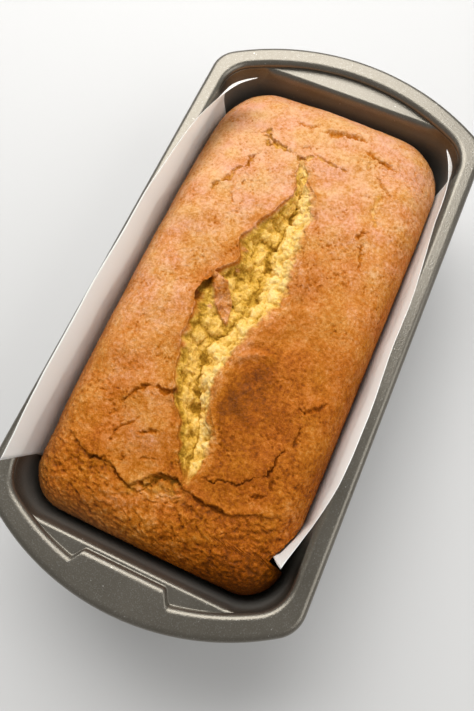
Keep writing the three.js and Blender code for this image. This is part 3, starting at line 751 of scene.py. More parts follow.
def paper_grid():
    """The middle of the sheet's thickness, from its right edge down and over the floor to its left."""
    inset = GAP + PAPER_THICKNESS / 2
    ends = PAPER_COLUMNS["end"]
    middle = np.linspace(-PAPER_MIDDLE, PAPER_MIDDLE, PAPER_COLUMNS["middle"])
    x = np.pad(middle, ends, constant_values=(-PAPER_END["tucked"], PAPER_END["far_top"]))[:, None]
    end_share = np.pad(0 * middle, ends, mode="linear_ramp", end_values=1)[:, None]
    inner = np.clip(x, -PAPER_MIDDLE, PAPER_MIDDLE)

    def side(sign_y):
        y, z = paper_side(sign_y, lerp(inner, x, end_share)[:, 0], inset)
        near = paper_end(z, PAPER_END["near_top"])
        if sign_y < 0:
            rise = np.maximum(z - PAPER_FREE_FROM, 0) / (RIGHT_PAPER_TOP - PAPER_FREE_FROM)
            near = lerp(TUCKED_END["foot"], TUCKED_END["top"], rise)
        limit = np.where(x < 0, -near, paper_end(z, PAPER_END["far_top"]))
        return np.stack([lerp(inner, limit, end_share), sign_y * y, z], axis=-1)

    right, left = side(-1), side(1)
    across = np.linspace(0, 1, PAPER_ROWS["floor"])[1:-1]
    floor = [lerp(right[:, 0], left[:, 0], share)[:, None] for share in across]
    return np.concatenate([right[:, ::-1], *floor, left], axis=1)


def make_paper():
    grid = paper_grid()
    loose = smoothstep(*LOOSE_HEIGHTS, grid[..., 2])
    wave = layers(grid * LOOSE_STRETCH, LOOSE_WAVES) * loose + layers(grid, CREASES)
    grid = grid + grid_normals(grid) * wave[..., None]
    half = grid_normals(grid) * PAPER_SHOWN_THICKNESS / 2
    points = np.concatenate([(grid + half).reshape(-1, 3), (grid - half).reshape(-1, 3)])
    upper, border = grid_faces(*grid.shape[:2])
    below = len(points) // 2
    lower = upper[:, ::-1] + below
    onward = np.roll(border, -1)
    edge = np.stack([onward, border, border + below, onward + below], axis=1)
    paper = make_mesh("parchment_sheet", points, [upper, lower, edge], "parchment")
    paper.data.materials.append(paper_material())
    return paper


# ---------------------------------------------------------------- the cake

PAPER_ROOM = GAP + PAPER_THICKNESS + GAP
CAKE_HALF_LENGTH = WELL["half_length"] - (WELL_TOP - CONTACT_REFERENCE) * DRAFT - END_GAP
CAKE_HALF_WIDTH = well_half_width(CONTACT_REFERENCE) - PAPER_ROOM


def corner_at(x):
    """The radius of the loaf's corners at the end that x is nearer to, and their centre."""
    radius = np.where(x < 0, CAKE_CORNER_RADIUS["near"], CAKE_CORNER_RADIUS["far"])
    return radius, CAKE_HALF_LENGTH - radius, CAKE_HALF_WIDTH - radius


def held_in(x):
    """How far the tucked paper holds the loaf's right side in, and nothing past the paper's near end."""
    return tuck(x - TUCK_ROOM) * smoothstep(TUCK_END - TUCK_FADE, TUCK_END, x)


def cake_half_width(x, right):
    radius, corner_x, _ = corner_at(x)
    past = np.clip(np.abs(x) - corner_x, 0, radius)
    inset = radius - np.sqrt(radius ** 2 - past * past)
    return CAKE_HALF_WIDTH - inset - np.where(right, held_in(x), 0)


def edge_distance(x, y):
    radius, corner_x, corner_y = corner_at(x)
    ax = np.abs(x) - corner_x
    ay = np.abs(y) - corner_y
    corner = np.hypot(np.maximum(ax, 0), np.maximum(ay, 0))
    return radius - np.where((ax > 0) & (ay > 0), corner, np.maximum(ax, ay))


def contact_height(x, y):
    along = x / CAKE_HALF_LENGTH
    across = y / CAKE_HALF_WIDTH
    sides = CONTACT["rise_across"] * across * (1 - along * along)
    corner = CONTACT["corner_drop"] * (along * across) ** 6
    return RIM_HEIGHT - CONTACT["drop"] + CONTACT["rise_along"] * along + sides - corner


def dome_height(x, y):
    along = x / CAKE_HALF_LENGTH
    across = y / CAKE_HALF_WIDTH
    fall = DOME_FALL_ALONG * np.abs(along) ** 2.5 + DOME_FALL_ACROSS * across * across
    far_corner = FAR_CORNER_FALL * (np.maximum(along, 0) * across) ** 4
    return RIM_HEIGHT + DOME_RISE - fall - far_corner - DOME_TILT * along


def unevenness(x, y):
    broad = 0.5 * np.sin(x / 11 + 1.3) * np.sin(y / 9 + 0.4)
    medium = 0.35 * np.sin(x / 6.1 - y / 7.3 + 2.1)
    return broad + medium + 0.25 * np.sin(x / 3.7 + y / 5.9)


def shoulder_share(distance):
    rest = 1 - np.clip(distance / SHOULDER, 0, 1)
    return np.sqrt(1 - rest * rest)


def crust_height(x, y):
    low = contact_height(x, y)
    share = shoulder_share(edge_distance(x, y))
    return low + (dome_height(x, y) - low) * share + unevenness(x, y) * share


# Raggedness of the burst's lips and valley: height, size, octaves and seed of each noise.
LIP_WAVES = dict(left=[(0.9, 3.2, 3, 21), (0.7, 9, 1, 22)], right=[(0.8, 4.0, 3, 23), (0.7, 10, 1, 24)])
VALLEY_WAVES = [(1.8, 5, 3, 25)]
RAGGED_DEPTH = 4
BEYOND_BURST = dict(spread=5, over=12)


def burst_at(x):
    """The burst's left lip, valley, right lip and depth at each x."""
    rows = np.array(BURST, float)
    i = np.clip(np.searchsorted(rows[:, 0], x) - 1, 0, len(rows) - 2)
    share = smoothstep(0, 1, (x - rows[i, 0]) / (rows[i + 1, 0] - rows[i, 0]))[:, None]
    left, valley, right, depth = lerp(rows[i, 1:], rows[i + 1, 1:], share).T
    inside = (x > rows[0, 0]) & (x < rows[-1, 0])
    line = np.stack([x, 0 * x, 0 * x], axis=-1)
    ragged = np.minimum(depth / RAGGED_DEPTH, 1) * inside
    left = left + ragged * layers(line, LIP_WAVES["left"])
    right = right + ragged * layers(line, LIP_WAVES["right"])
    valley = valley + ragged * layers(line, VALLEY_WAVES)
    beyond = np.maximum(rows[0, 0] - x, 0) + np.maximum(x - rows[-1, 0], 0)
    spread = BEYOND_BURST["spread"] * smoothstep(0, BEYOND_BURST["over"], beyond)
    return left + spread, valley, right - spread, np.where(inside, depth, 0)


CAKE_COLUMNS = dict(middle=500, end=60)
CRUST_ROWS = 142
SHOULDER_ROWS = 56
FLANK_ROWS = 44


def cake_columns():
    turn = np.sin(arc_angles(90, 0, CAKE_COLUMNS["end"]))
    near_radius, near_x, _ = corner_at(-1)
    far_radius, far_x, _ = corner_at(1)
    middle = np.linspace(TUCK_END, far_x, CAKE_COLUMNS["middle"])[:-1]
    return np.concatenate([-near_x - near_radius * turn, middle, far_x + far_radius * turn[::-1]])


def crust_rows(edge, lip):
    """From the edge to the lip, closer together down the shoulder: y of each row at each x."""
    width = np.abs(lip - edge)
    arc = SHOULDER * (1 - np.cos(np.linspace(0, math.pi / 2, SHOULDER_ROWS)))
    flat = np.linspace(0, 1, CRUST_ROWS - SHOULDER_ROWS + 1)[1:]
    shoulder = np.broadcast_to(arc, (len(edge), SHOULDER_ROWS))
    distance = np.concatenate([shoulder, SHOULDER + (width[:, None] - SHOULDER) * flat], axis=1)
    return edge[:, None] + np.sign(lip - edge)[:, None] * distance


# Below, a noise is its height, size, octaves and seed, and a pair says where a change starts and ends.
CRACK_WAVES = dict(
    x=[(0.6, 4.0, 2, 31), (1.2, 1.7, 3, 33)],
    y=[(0.6, 4.0, 2, 32), (1.2, 1.7, 3, 36)],
    width=[(1.1, 2.2, 2, 39), (0.5, 0.9, 1, 44)],
)
CRACK = dict(taper=7, least=0.25, widest=2, end_width=0.45, walls=(1.5, 0.3), edge=0.22, edge_reach=3)

# The ragged edge of the top crust at the near end, as y and x. Nearer than it the crust lies lower.
SCARP = [
    (-46, -84), (-38, -86), (-29, -90.5), (-18, -90.5), (-8, -89), (-2, -86), (4, -87), (9, -91),
    (14, -97), (20, -95), (26, -91), (33, -92), (40, -90), (46, -86),
]
SCARP_WAVES = [(1.2, 4, 3, 41)]
# The step's last entry darkens the crust just below the step as painted shade.
SCARP_STEP = dict(drop=1.1, fade=9, ends=(52, 40), bake_and_shading=0.10)
SCARP_RIM = dict(height=0.35, at=-1.2, width=1.4)

# Folds in the crust beside the burst: height, half width and points.
FOLDS = [
    (1.4, 1.9, [(-30.7, -5.2), (-27.9, -8.2), (-25.2, -12.2), (-23.9, -18.2)]),
    (0.9, 2.0, [(-41.5, -15), (-45.7, -14.3), (-49, -14)]),
    (0.6, 2.2, [(-26, 0.7), (-22, -7), (-18.3, -12)]),
    (0.7, 2.0, [(8, -19), (18, -18), (28, -16)]),
    (0.5, 2.4, [(-12, -17), (-4, -20), (2, -23)]),
    (0.8, 2.2, [(-44, -5), (-52, -8), (-60, -13)]),
]
# Hollows of the crust beside the burst: x, y, reach and depth.
HOLLOWS = [(-34, -13, 8, 0.9), (-50, -13, (9, 8), 0.9), (-12, -23, (8, 5), 0.8), (14, -24, (9, 4), 0.7)]

SKIN_WAVES = [(0.30, 9, 2, 51), (0.26, 2.6, 3, 52), (0.16, 1.2, 2, 59)]
BEND_WAVES = [[(1.6, 5, 2, 57)], [(1.6, 5, 2, 58)]]
ROUGH = dict(past_scarp=(-1, 5), waves=[(1.5, 5, 2, 56)], edge=(26, 10), near=(-35, -80), beside=0.6)
# The last entries of the wrinkles, grains and pores paint shade into the wrinkles, pores and creases between
# grains, and light onto the grains' tops.
WRINKLE = dict(size=(1.9, 4.6, 1.9), sharpness=3.2, level=0.3, height=0.34, shade_level=0.45, bake_and_shading=0.07)
GRAIN = dict(stretch=(1.3, 0.9, 1), size=2.3, height=0.9, bake_and_shading=-0.26)
PORE = dict(size=2.0, start=0.86, height=-0.5, bake_and_shading=0.2)
PORE_PLACES = dict(waves=[(1, 8, 2, 55)], found=(-0.1, 0.3), rough=0.6)
CRUMBLED = dict(size=1.7, crack=(0.5, 1.2), height=0.7)

# The crumb of the burst, and the crust's bits in it: x, y and radius.
TORN = dict(shift=2.2, size=3.6, seeds=(68, 71, 74))
BIG_LUMP = dict(stretch=(1, 1, 0.8), size=5.6, level=0.45, height=2.5)
SMALL_LUMP = dict(size=2.0, level=0.5, height=1.0)
CRUMB_WAVES = [(0.5, 1.5, 3, 67)]
CRUMB_FROM = dict(relief=(0, 0.25), right=(0.12, 0.38), left=(0.05, 0.18), waves=[(0.16, 2.8, 3, 71)])
OPENED_DEPTH = 3
CRUST_BITS = [
    (19.2, 13.2, 2.0), (23.6, -9.1, 1.8), (-25.5, -4.8, 1.6), (54.4, -9.5, 2.0), (39.5, -15.4, 1.6),
    (9, 12, 1.3), (33, -10, 1.4), (-12, 17, 1.2), (48, -6.5, 1.3),
]
BIT = dict(waves=[(0.9, 1.8, 2, 72)], core=0.4, share=0.75)
# Places where golden crumb shows through the crust beyond the burst's near end: x, y and radius.
GOLDEN_FLECKS = [(-91.5, 2, 4), (-92.5, 8, 3.5), (-91.5, -4, 4), (-97, 13, 3)]
FLECK = dict(share=0.35, lumps=(0.35, 0.6))
YELLOW_CRACK = dict(depth=(0.15, 0.8), share=0.5)
# The loose tongue of crust in the burst, and the notch in the left lip behind it.
TONGUE_LINE = [(1.8, 19.8), (-0.8, 16.6), (-6.2, 12.8), (-9.5, 10.7), (-12.8, 9), (-14.9, 7.3)]
TONGUE_HALF_WIDTHS = (1.2, 3.4, 4.1, 4.2, 2.7, 0.9)
TONGUE = dict(waves=[(0.5, 2.4, 3, 73)], side=0.35, height=1.7, skin=0.3)
TONGUE_BAKE = dict(level=0.40, waves=[(0.14, 2.4, 3, 85)])
NOTCH_LINE = [(-1, 20.5), (-6, 22.4), (-10.5, 22.6)]
# The notch's last entry darkens its crust as painted shade in it.
NOTCH = dict(width=1.6, depth=3.0, bake_and_shading=0.35)

# How far the crust is baked: patches as x, y, reach and strength, which is below 0 for paler ones. The darker
# patches by the hollows right of the burst are partly painted shade in them, and the two small paler ones on
# the fold's crest are a painted highlight.
BAKE_AND_SHADING_PATCHES = [
    (-92, 0, 6, -0.10), (-93.5, 8, 5, -0.10), (-92, -7, 5, -0.10), (-96.5, 17, 5, -0.06),
    (-93, -17, 5, -0.06), (-33, -14, 6, 0.16), (-42, -10, 6, 0.13), (-50, -10, 6, 0.18),
    (-50, -17, 9, 0.12), (-28, -8, 3, -0.14), (-25, -13, 3, -0.12), (-37, -19, 9, 0.12),
    (-20, -22, 9, 0.08), (12, -23, 10, 0.08), (16, 17, 5, 0.15), (-84, 0, 6, 0.15), (-95, -15, 8, 0.12),
    (-100, 40, 16, 0.12), (-60, -50, 14, 0.08), (0, 27, 5, 0.12), (-78, 17, (14, 12), -0.06),
]
# Bake that changes along a slope, paler towards the far left and darker towards the near end, partly the
# crust's own browning and partly painted light and shade, the far left facing the light: strength, weights of
# x and y, and where their sum starts and ends.
BAKE_AND_SHADING_SLOPES = [(-0.155, 1, 0.6, -30, 100), (0.16, 1, -0.4, -40, -105), (0.06, 1, 0, -95, -112)]
# Bake that grows towards a place, which at the near right corner is partly painted shade in the gap by the
# tin: strength, x, y, stretch along x, and the distances it grows between.
BAKE_AND_SHADE_ZONES = [(0.35, -118, -55, 1, 40, 0), (0.15, -55, -26, 1.5, 44, 8)]
BAKE_WAVES = [(0.05, 30, 2, 81), (0.10, 7, 3, 82)]
# The right entries darken the loaf's near right side as painted shade, on the side away from the light.
BAKE_AND_SHADE = dict(level=0.41, shoulder=0.30, power=1.5, right=0.12, right_y=(10, -40), right_x=(60, -20))
LIP_BAKE = dict(left=0.16, right=0.10, fade=2.5, full_depth=5, under=0.22, under_at=0.09, under_width=0.05)
# Painted light on the lips' rims, lerped toward a lighter orange where they catch the light; on the right
# flank it is also the crust's own turn toward the crumb.
RIM_LIGHT_AND_TONE = dict(bake_and_shading=0.43, share=0.7, flank=(0.3, 0.1), width=1.8, left_x=(-50, -60))
# Painted shade in the cracks: the crust there is made darker, less so where yellow crumb shows.
CRACK_SHADE = dict(share=0.22, deepest=1.3, yellow=0.5)
# Painted shade along the left and far shoulders, where the cake meets the paper and tin wall: share, and
# where it grows along y and along x.
EDGE_SHADE = dict(share=0.75, y=(-10, 30), x=(60, 105))

# How light the crumb is, with painted light on its lumps and painted shade on its left flank, in the notch
# and where it shows in cracks and beyond the burst.
LIGHT = dict(level=0.58, big=0.80, small=0.50, notch=0.5, left=0.36, right=0.06, crust=0.12)
VALLEY_SHADE = dict(share=0.5, width=0.12, waves=[(0.06, 4, 2, 83)])
LIP_SHADE = dict(share=0.3, at=0.18, width=0.09)
NEAR_SHADE = dict(share=0.3, x=(-62, -78))
MIDDLE_SHADE = dict(share=0.12, at=-12, width=14)
UNDERCUT = dict(shift=0.05, at=0.1, width=0.07, start=0.06)
LIP_REACH = dict(left=2.2, right=5.0)


def loaf_top():
    """The loaf's upper surface as a grid, with the zone of the burst that each row lies in."""
    x = cake_columns()
    left, valley, right, depth = burst_at(x)
    share = np.linspace(0, 1, FLANK_ROWS + 1)[:-1]
    shift = UNDERCUT["shift"] * bell(share - UNDERCUT["at"], UNDERCUT["width"])
    undercut = share - shift * smoothstep(0, UNDERCUT["start"], share)
    left, valley, right, deep = (values[:, None] for values in (left, valley, right, depth))
    y = np.concatenate([
        crust_rows(-cake_half_width(x, True), right[:, 0])[:, :-1],
        lerp(right, valley, share), valley, lerp(left, valley, undercut)[:, ::-1],
        crust_rows(cake_half_width(x, False), left[:, 0])[:, :-1][:, ::-1],
    ], axis=1)
    x = np.repeat(x[:, None], y.shape[1], axis=1)
    crust = np.full(CRUST_ROWS - 1, np.nan)
    zone = np.concatenate([crust, share, [1.0], share[::-1], crust])
    in_flank = ~np.isnan(zone)
    share = np.where(in_flank, zone, 0)
    is_left = np.arange(len(zone)) > len(crust) + FLANK_ROWS
    bend = np.where(is_left, FLANK_BEND["left"], FLANK_BEND["right"])
    drop = np.where(in_flank, 1 - (1 - share) ** bend, 0) * deep
    outside = np.where(in_flank, 0, np.maximum(np.where(is_left, y - left, right - y), 0))
    reach = np.where(is_left, LIP_REACH["left"], LIP_REACH["right"])
    raised = deep * LIP_RAISE * np.where(in_flank, 1 - share, np.exp(-outside / reach))
    grid = np.stack([x, y, crust_height(x, y) + raised - drop], axis=-1)
    return SimpleNamespace(
        x=x, y=y, grid=grid, deep=deep, in_flank=in_flank, share=share, is_left=is_left, outside=outside,
        edge=shoulder_share(edge_distance(x, y)), opened=np.minimum(deep / OPENED_DEPTH, 1),
    )


def crack_relief(top):
    """Depth of the cracks, how much yellow shows in them, and the raised crust along their edges."""
    x = top.x + layers(top.grid, CRACK_WAVES["x"])
    y = top.y + layers(top.grid, CRACK_WAVES["y"])
    ragged = np.clip(1 + layers(top.grid, CRACK_WAVES["width"]), CRACK["least"], CRACK["widest"])
    depth, yellow, raised = np.zeros((3, *x.shape))
    for width, deep, colour, line in CRACKS:
        gap, share = line_distance(x, y, line)
        taper = np.prod(np.clip(CRACK["taper"] * np.array([share, 1 - share]), CRACK["least"], 1), axis=0)
        half = width * lerp(CRACK["end_width"], 1, taper) * ragged
        cut = deep * taper * smoothstep(*CRACK["walls"], gap / half)
        yellow = np.where(cut > depth, colour, yellow)
        depth = np.maximum(depth, cut)
        edge = CRACK["edge"] * deep * taper * bell(gap, CRACK["edge_reach"] * width)
        raised = np.maximum(raised, edge)
    return depth, yellow, raised


def crust_relief(top, raised):
    """Relief of the browned crust besides its skin, and the painted shade and light that go with it: darker
    in its wrinkles, pores, the creases between grains and below the step, lighter on the grains' tops.
    """
    x, y, grid = top.x, top.y, top.grid
    past = np.interp(y, *np.array(SCARP).T) + layers(grid, SCARP_WAVES) - x
    span = smoothstep(*SCARP_STEP["ends"], np.abs(y))
    step = SCARP_STEP["drop"] * np.where(past > 0, np.exp(-past / SCARP_STEP["fade"]), 0) * span
    rim = SCARP_RIM["height"] * bell(past - SCARP_RIM["at"], SCARP_RIM["width"]) * span
    beside = smoothstep(*ROUGH["edge"], edge_distance(x, y)) * smoothstep(*ROUGH["near"], x)
    rough = smoothstep(*ROUGH["past_scarp"], past + layers(grid, ROUGH["waves"]))
    rough = np.maximum(rough, ROUGH["beside"] * beside)
    bent = grid + np.stack([*(layers(grid, waves) for waves in BEND_WAVES), 0 * x], axis=-1)
    wrinkles = 1 - WRINKLE["sharpness"] * np.abs(fractal(bent, WRINKLE["size"], 4, 53))
    grains = lumps(bent * GRAIN["stretch"], GRAIN["size"], 96) - 0.5
    pores = np.clip(lumps(bent, PORE["size"], 54) - PORE["start"], 0, 1) / (1 - PORE["start"])
    places = layers(grid, PORE_PLACES["waves"]) + PORE_PLACES["rough"] * rough
    pores = pores * smoothstep(*PORE_PLACES["found"], places)
    crumbled = (lumps(bent, CRUMBLED["size"], 91) - 0.5) * smoothstep(*CRUMBLED["crack"], top.crack)
    folds = sum(height * bell(line_distance(x, y, line)[0], width) for height, width, line in FOLDS)
    relief = folds - spots(x, y, HOLLOWS) - top.crack + raised - step + rim
    relief = relief + CRUMBLED["height"] * crumbled + PORE["height"] * pores
    texture = WRINKLE["height"] * (wrinkles - WRINKLE["level"]) + GRAIN["height"] * grains
    # Painted shade in the wrinkles, pores and creases between grains and below the step, and painted light on
    # the grains' tops.
    bake_and_shading = WRINKLE["bake_and_shading"] * (WRINKLE["shade_level"] - wrinkles) + GRAIN["bake_and_shading"] * grains
    return relief + texture * rough, bake_and_shading * rough + PORE["bake_and_shading"] * pores + SCARP_STEP["bake_and_shading"] * step


def crust_browning_and_shading(top, relief_shading):
    """How far the crust is browned, from 0 (pale) to 1 (dark), with painted shade and painted light added in.
    """
    x, y, left, flank = top.x, top.y, top.is_left, top.in_flank
    bake_and_shading = BAKE_AND_SHADE["level"] + layers(top.grid, BAKE_WAVES) + spots(x, y, BAKE_AND_SHADING_PATCHES)
    for strength, along, across, start, end in BAKE_AND_SHADING_SLOPES:
        bake_and_shading = bake_and_shading + strength * smoothstep(start, end, along * x + across * y)
    for strength, place_x, place_y, stretch, start, end in BAKE_AND_SHADE_ZONES:
        bake_and_shading = bake_and_shading + strength * smoothstep(start, end, np.hypot((x - place_x) / stretch, y - place_y))
    bake_and_shading = bake_and_shading + BAKE_AND_SHADE["shoulder"] * (1 - top.edge) ** BAKE_AND_SHADE["power"]
    # Painted shade: the near right side, away from the light, is made darker.
    bake_and_shading = bake_and_shading + BAKE_AND_SHADE["right"] * smoothstep(*BAKE_AND_SHADE["right_y"], y) * smoothstep(*BAKE_AND_SHADE["right_x"], x)
    lip = np.exp(-top.outside / LIP_BAKE["fade"]) * np.minimum(top.deep / LIP_BAKE["full_depth"], 1)
    bake_and_shading = bake_and_shading + np.where(left, LIP_BAKE["left"], LIP_BAKE["right"]) * lip * ~flank
    under_lip = bell(top.share - LIP_BAKE["under_at"], LIP_BAKE["under_width"]) * (flank & left)
    bake_and_shading = bake_and_shading + LIP_BAKE["under"] * under_lip * top.opened
    # Painted light on the lit rims of the lips, and on the right flank the crust's own turn toward the crumb.
    by_lip = bell(top.outside, RIM_LIGHT_AND_TONE["width"])
    rim_light_and_tone = np.where(flank, smoothstep(*RIM_LIGHT_AND_TONE["flank"], top.share), by_lip) * ~left
    rim_light_and_tone = np.maximum(rim_light_and_tone, by_lip * (left & ~flank) * smoothstep(*RIM_LIGHT_AND_TONE["left_x"], x))
    bake_and_shading = lerp(bake_and_shading, RIM_LIGHT_AND_TONE["bake_and_shading"], RIM_LIGHT_AND_TONE["share"] * rim_light_and_tone * top.opened) + relief_shading
    # Painted shade in the cracks.
    in_crack = np.minimum(top.crack, CRACK_SHADE["deepest"]) * (1 - CRACK_SHADE["yellow"] * top.yellow)
    bake_and_shading = bake_and_shading + CRACK_SHADE["share"] * in_crack
    tongue_bake = TONGUE_BAKE["level"] + layers(top.grid, TONGUE_BAKE["waves"])
    # Painted shade in the notch behind the tongue.
    return lerp(bake_and_shading, tongue_bake, top.tongue) + NOTCH["bake_and_shading"] * top.notch


def crumb_lightness(top, big, small, yellow_crack):
    """How light the crumb is, from 0 (in the creases) to 1 (on the lumps): painted shade in its creases,
    valley, under the left lip, in the notch and on its flanks, and painted light on its lumps.
    """
    valley = bell(1 - top.share, VALLEY_SHADE["width"] + layers(top.grid, VALLEY_SHADE["waves"]))
    under_lip = bell(top.share - LIP_SHADE["at"], LIP_SHADE["width"]) * (top.in_flank & top.is_left)
    near = NEAR_SHADE["share"] * smoothstep(*NEAR_SHADE["x"], top.x)
    middle = MIDDLE_SHADE["share"] * bell(top.x - MIDDLE_SHADE["at"], MIDDLE_SHADE["width"])
    light = LIGHT["level"] + LIGHT["big"] * (big - 0.5) + LIGHT["small"] * (small - 0.5)
    light = light - VALLEY_SHADE["share"] * valley - LIP_SHADE["share"] * under_lip
    # Painted shade on the left flank, which faces away from the light, and a little on the right.
    light = light - np.where(top.is_left, LIGHT["left"] + near, LIGHT["right"] + middle)
    light = light - LIGHT["notch"] * top.notch - LIGHT["crust"] * np.maximum(yellow_crack, ~top.in_flank)
    return np.clip(light, 0, 1)


def crumb_cover(top, small, yellow_crack):
    """The share of crumb in the colour of each point."""
    x, y = top.x, top.y
    wobble = layers(top.grid, CRUMB_FROM["waves"])
    right = smoothstep(*CRUMB_FROM["right"], top.share + wobble)
    left = smoothstep(*CRUMB_FROM["left"], top.share + wobble / 2)
    cover = np.where(top.is_left, left, right) * top.in_flank * top.opened
    ragged = layers(top.grid, BIT["waves"])
    bits = np.max([
        smoothstep(radius, radius * BIT["core"], np.hypot(x - bit_x, y - bit_y) + ragged)
        for bit_x, bit_y, radius in CRUST_BITS
    ], axis=0)
    cover = cover * (1 - BIT["share"] * bits) * (1 - top.tongue)
    flecks = np.max([
        bell(np.hypot(x - fleck_x, y - fleck_y), radius) for fleck_x, fleck_y, radius in GOLDEN_FLECKS
    ], axis=0)
    cover = np.maximum(cover, FLECK["share"] * flecks * smoothstep(*FLECK["lumps"], small))
    return np.maximum(cover, YELLOW_CRACK["share"] * yellow_crack)


def top_relief(top):
    """How far the surface stands out along its normal, and its colour values."""
    x, y, grid = top.x, top.y, top.grid
    top.crack, top.yellow, raised = crack_relief(top)
    gap, along = line_distance(x, y, TONGUE_LINE)
    half_width = np.interp(along, np.linspace(0, 1, len(TONGUE_HALF_WIDTHS)), TONGUE_HALF_WIDTHS)
    half_width = half_width + layers(grid, TONGUE["waves"])
    top.tongue = smoothstep(TONGUE["side"], -TONGUE["side"], gap - half_width) * top.in_flank
    top.notch = bell(line_distance(x, y, NOTCH_LINE)[0], NOTCH["width"]) * top.in_flank

    skin = layers(grid, SKIN_WAVES)
    crust, relief_shading = crust_relief(top, raised)
    shift = np.stack([fractal(grid, TORN["size"], 3, seed) for seed in TORN["seeds"]], axis=-1)
    torn = grid + TORN["shift"] * shift
    big = lumps(torn * BIG_LUMP["stretch"], BIG_LUMP["size"], 61)
    small = lumps(torn, SMALL_LUMP["size"], 64)
    crumb = BIG_LUMP["height"] * (big - BIG_LUMP["level"]) + layers(grid, CRUMB_WAVES)
    crumb = crumb + SMALL_LUMP["height"] * (small - SMALL_LUMP["level"])
    crumb_share = smoothstep(*CRUMB_FROM["relief"], top.share) * top.in_flank * top.opened
    tongue_height = (TONGUE["height"] + TONGUE["skin"] * skin) * top.opened
    relief = lerp(skin + crust, crumb, crumb_share) + top.tongue * tongue_height
    relief = relief - NOTCH["depth"] * top.notch * (1 - top.tongue)

    yellow_crack = smoothstep(*YELLOW_CRACK["depth"], top.crack * top.yellow) * ~top.in_flank
    # Painted shade along the left and far shoulders, by the paper and the tin wall.
    shaded_side = np.maximum(smoothstep(*EDGE_SHADE["y"], y), smoothstep(*EDGE_SHADE["x"], x))
    return relief * top.edge, dict(
        bake_and_shading=crust_browning_and_shading(top, relief_shading),
        lightness=crumb_lightness(top, big, small, yellow_crack),
        crumb=crumb_cover(top, small, yellow_crack),
        crack=np.clip(top.crack, 0, 1) * ~top.in_flank,
        edge_shade=EDGE_SHADE["share"] * (1 - top.edge) * shaded_side,
    )


def move_out(points, shift, side_width):
    """Moves points of the loaf outward in plan, fully at its sides and ends and not in the middle."""
    x, y = points[..., 0], points[..., 1]
    radius, corner_x, _ = corner_at(x)
    along = np.clip((np.abs(x) - corner_x) / radius, 0, 1)
    side = np.minimum(np.abs(y) / side_width, 1)
    across = np.sqrt(1 - along * along) * side ** 4
    moved = points.copy()
    moved[..., 0] += np.sign(x) * shift * along
    moved[..., 1] += np.sign(y) * shift * across
    return moved


def draft_shift(z):
    return (z - CONTACT_REFERENCE) * DRAFT


SKIRT_SHARES = (0.25, 0.5, 0.75, 1)
SKIRT_STEPS = 6


def make_cake():
    top = loaf_top()
    columns, rows = top.x.shape
    width = cake_half_width(top.x, top.y < 0)
    relief, colours = top_relief(top)
    smooth = move_out(top.grid, draft_shift(top.grid[..., 2]), width)
    surface = (smooth + grid_normals(smooth) * relief[..., None]).reshape(-1, 3)
    quads, border = grid_faces(columns, rows)

    points, faces = [surface], [quads]
    rim = top.grid.reshape(-1, 3)[border]
    rim_width = width.ravel()[border]
    is_right = border % rows == 0
    radius = FLOOR_FILLET - PAPER_ROOM
    turns = arc_angles(0, 90, SKIRT_STEPS)[1:]
    upper, count = border, len(surface)
    for share, angle in [*((share, 0) for share in SKIRT_SHARES), *((1, angle) for angle in turns)]:
        foot = FILLET_CENTRE_Z - radius * math.sin(angle)
        height = lerp(rim[:, 2], foot, share)
        shift = draft_shift(np.maximum(height, FILLET_CENTRE_Z)) - radius * (1 - math.cos(angle))
        held = np.where(is_right, held_in(rim[:, 0]) * share, 0)
        ring = np.column_stack([rim[:, 0], rim[:, 1] - held, height])
        points.append(move_out(ring, shift, rim_width + held))
        lower = count + np.arange(len(border))
        faces.append(np.stack([upper, lower, np.roll(lower, -1), np.roll(upper, -1)], axis=1))
        upper, count = lower, count + len(border)
    points.append([(0, 0, points[-1][0, 2])])
    faces.append(np.stack([np.full(len(border), count), np.roll(upper, -1), upper], axis=1))

    added = count + 1 - len(surface)
    attributes = {
        key: np.pad(value.ravel(), (0, added), constant_values=value.flat[0])
        for key, value in colours.items()
    }
    cake = make_mesh("cake_loaf", np.concatenate(points), faces, "pound_cake", attributes)
    cake.data.materials.append(cake_material())
    return cake


# ---------------------------------------------------------------- the scene around it

IMAGE_HEIGHT = 711
CAMERA = dict(
    place=(-93.35, -36.357, 319.163),
    azimuth=0.45417568,
    down=1.28440936,
    roll=-0.03327421,
    focal_pixels=591.188,
)
SENSOR = 36
CLIP_START = 0.01
FLOOR = dict(half_size=4.0, colour=(0.59, 0.59, 0.59, 1), roughness=0.6)
WORLD = dict(colour=(1.0, 0.985, 0.95, 1), strength=0.36)
# Lights: name, azimuth and elevation in degrees, distance and size in metres, power and colour.
LIGHTS = [
    ("window", 32, 52, 1.15, (1.1, 0.75), 12.5, (1.0, 0.99, 0.97)),
    ("sky_panel", 30, 50, 1.8, (2.4, 1.6), 11, (1.0, 1.0, 1.0)),
    ("side_fill", -85, 42, 1.6, (1.4, 1.0), 9, (1.0, 1.0, 1.0)),
]


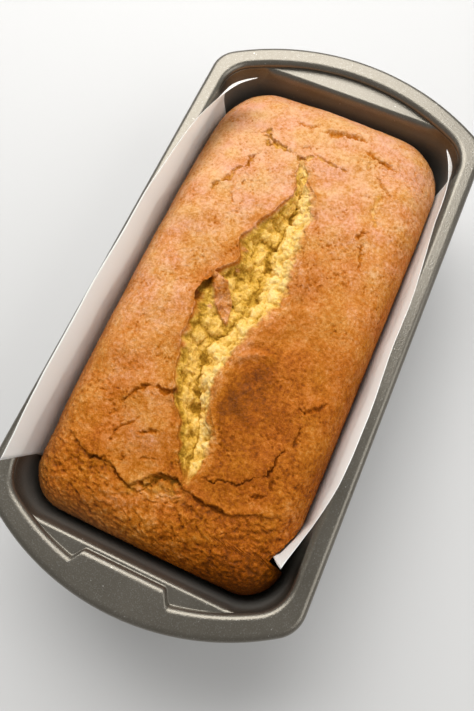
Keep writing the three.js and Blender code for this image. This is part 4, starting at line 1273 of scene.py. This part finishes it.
def direction(azimuth, elevation):
    level = math.cos(elevation)
    return Vector((math.cos(azimuth) * level, math.sin(azimuth) * level, math.sin(elevation)))


def make_camera():
    azimuth, roll = CAMERA["azimuth"], CAMERA["roll"]
    forward = direction(azimuth, -CAMERA["down"])
    level = Vector((math.sin(azimuth), -math.cos(azimuth), 0))
    rise = level.cross(forward)
    right = math.cos(roll) * level + math.sin(roll) * rise
    up = -math.sin(roll) * level + math.cos(roll) * rise
    camera = add_object("camera", bpy.data.cameras.new("camera"))
    turn = Matrix((right, up, -forward)).transposed().to_4x4()
    camera.matrix_world = Matrix.Translation(Vector(CAMERA["place"]) * MM) @ turn
    camera.data.sensor_width = SENSOR
    camera.data.lens = SENSOR * CAMERA["focal_pixels"] / IMAGE_HEIGHT
    camera.data.clip_start = CLIP_START
    bpy.context.scene.camera = camera


def make_floor():
    half = FLOOR["half_size"]
    corners = [(-half, -half, 0), (half, -half, 0), (half, half, 0), (-half, half, 0)]
    mesh = bpy.data.meshes.new("floor")
    mesh.from_pydata(corners, [], [(0, 1, 2, 3)])
    material, tree, shader = new_material("pale_floor")
    feed(tree, shader, {"Base Color": FLOOR["colour"], "Roughness": FLOOR["roughness"]})
    mesh.materials.append(material)
    add_object("floor", mesh)


def make_light(name, azimuth, elevation, distance, size, power, colour):
    light = bpy.data.lights.new(name, "AREA")
    light.shape = "RECTANGLE"
    light.size, light.size_y = size
    light.energy = power
    light.color = colour
    lamp = add_object(name, light)
    back = direction(math.radians(azimuth), math.radians(elevation))
    lamp.location = back * distance
    lamp.rotation_euler = back.to_track_quat("Z", "Y").to_euler()


def make_world():
    world = bpy.data.worlds.new("studio")
    world.use_nodes = True
    tree = world.node_tree
    feed(tree, tree.nodes["Background"], {"Color": WORLD["colour"], "Strength": WORLD["strength"]})
    bpy.context.scene.world = world


make_camera()
make_floor()
make_world()
for settings in LIGHTS:
    make_light(*settings)
make_tin()
make_paper()
make_cake()
bpy.context.scene.view_settings.view_transform = "Standard"
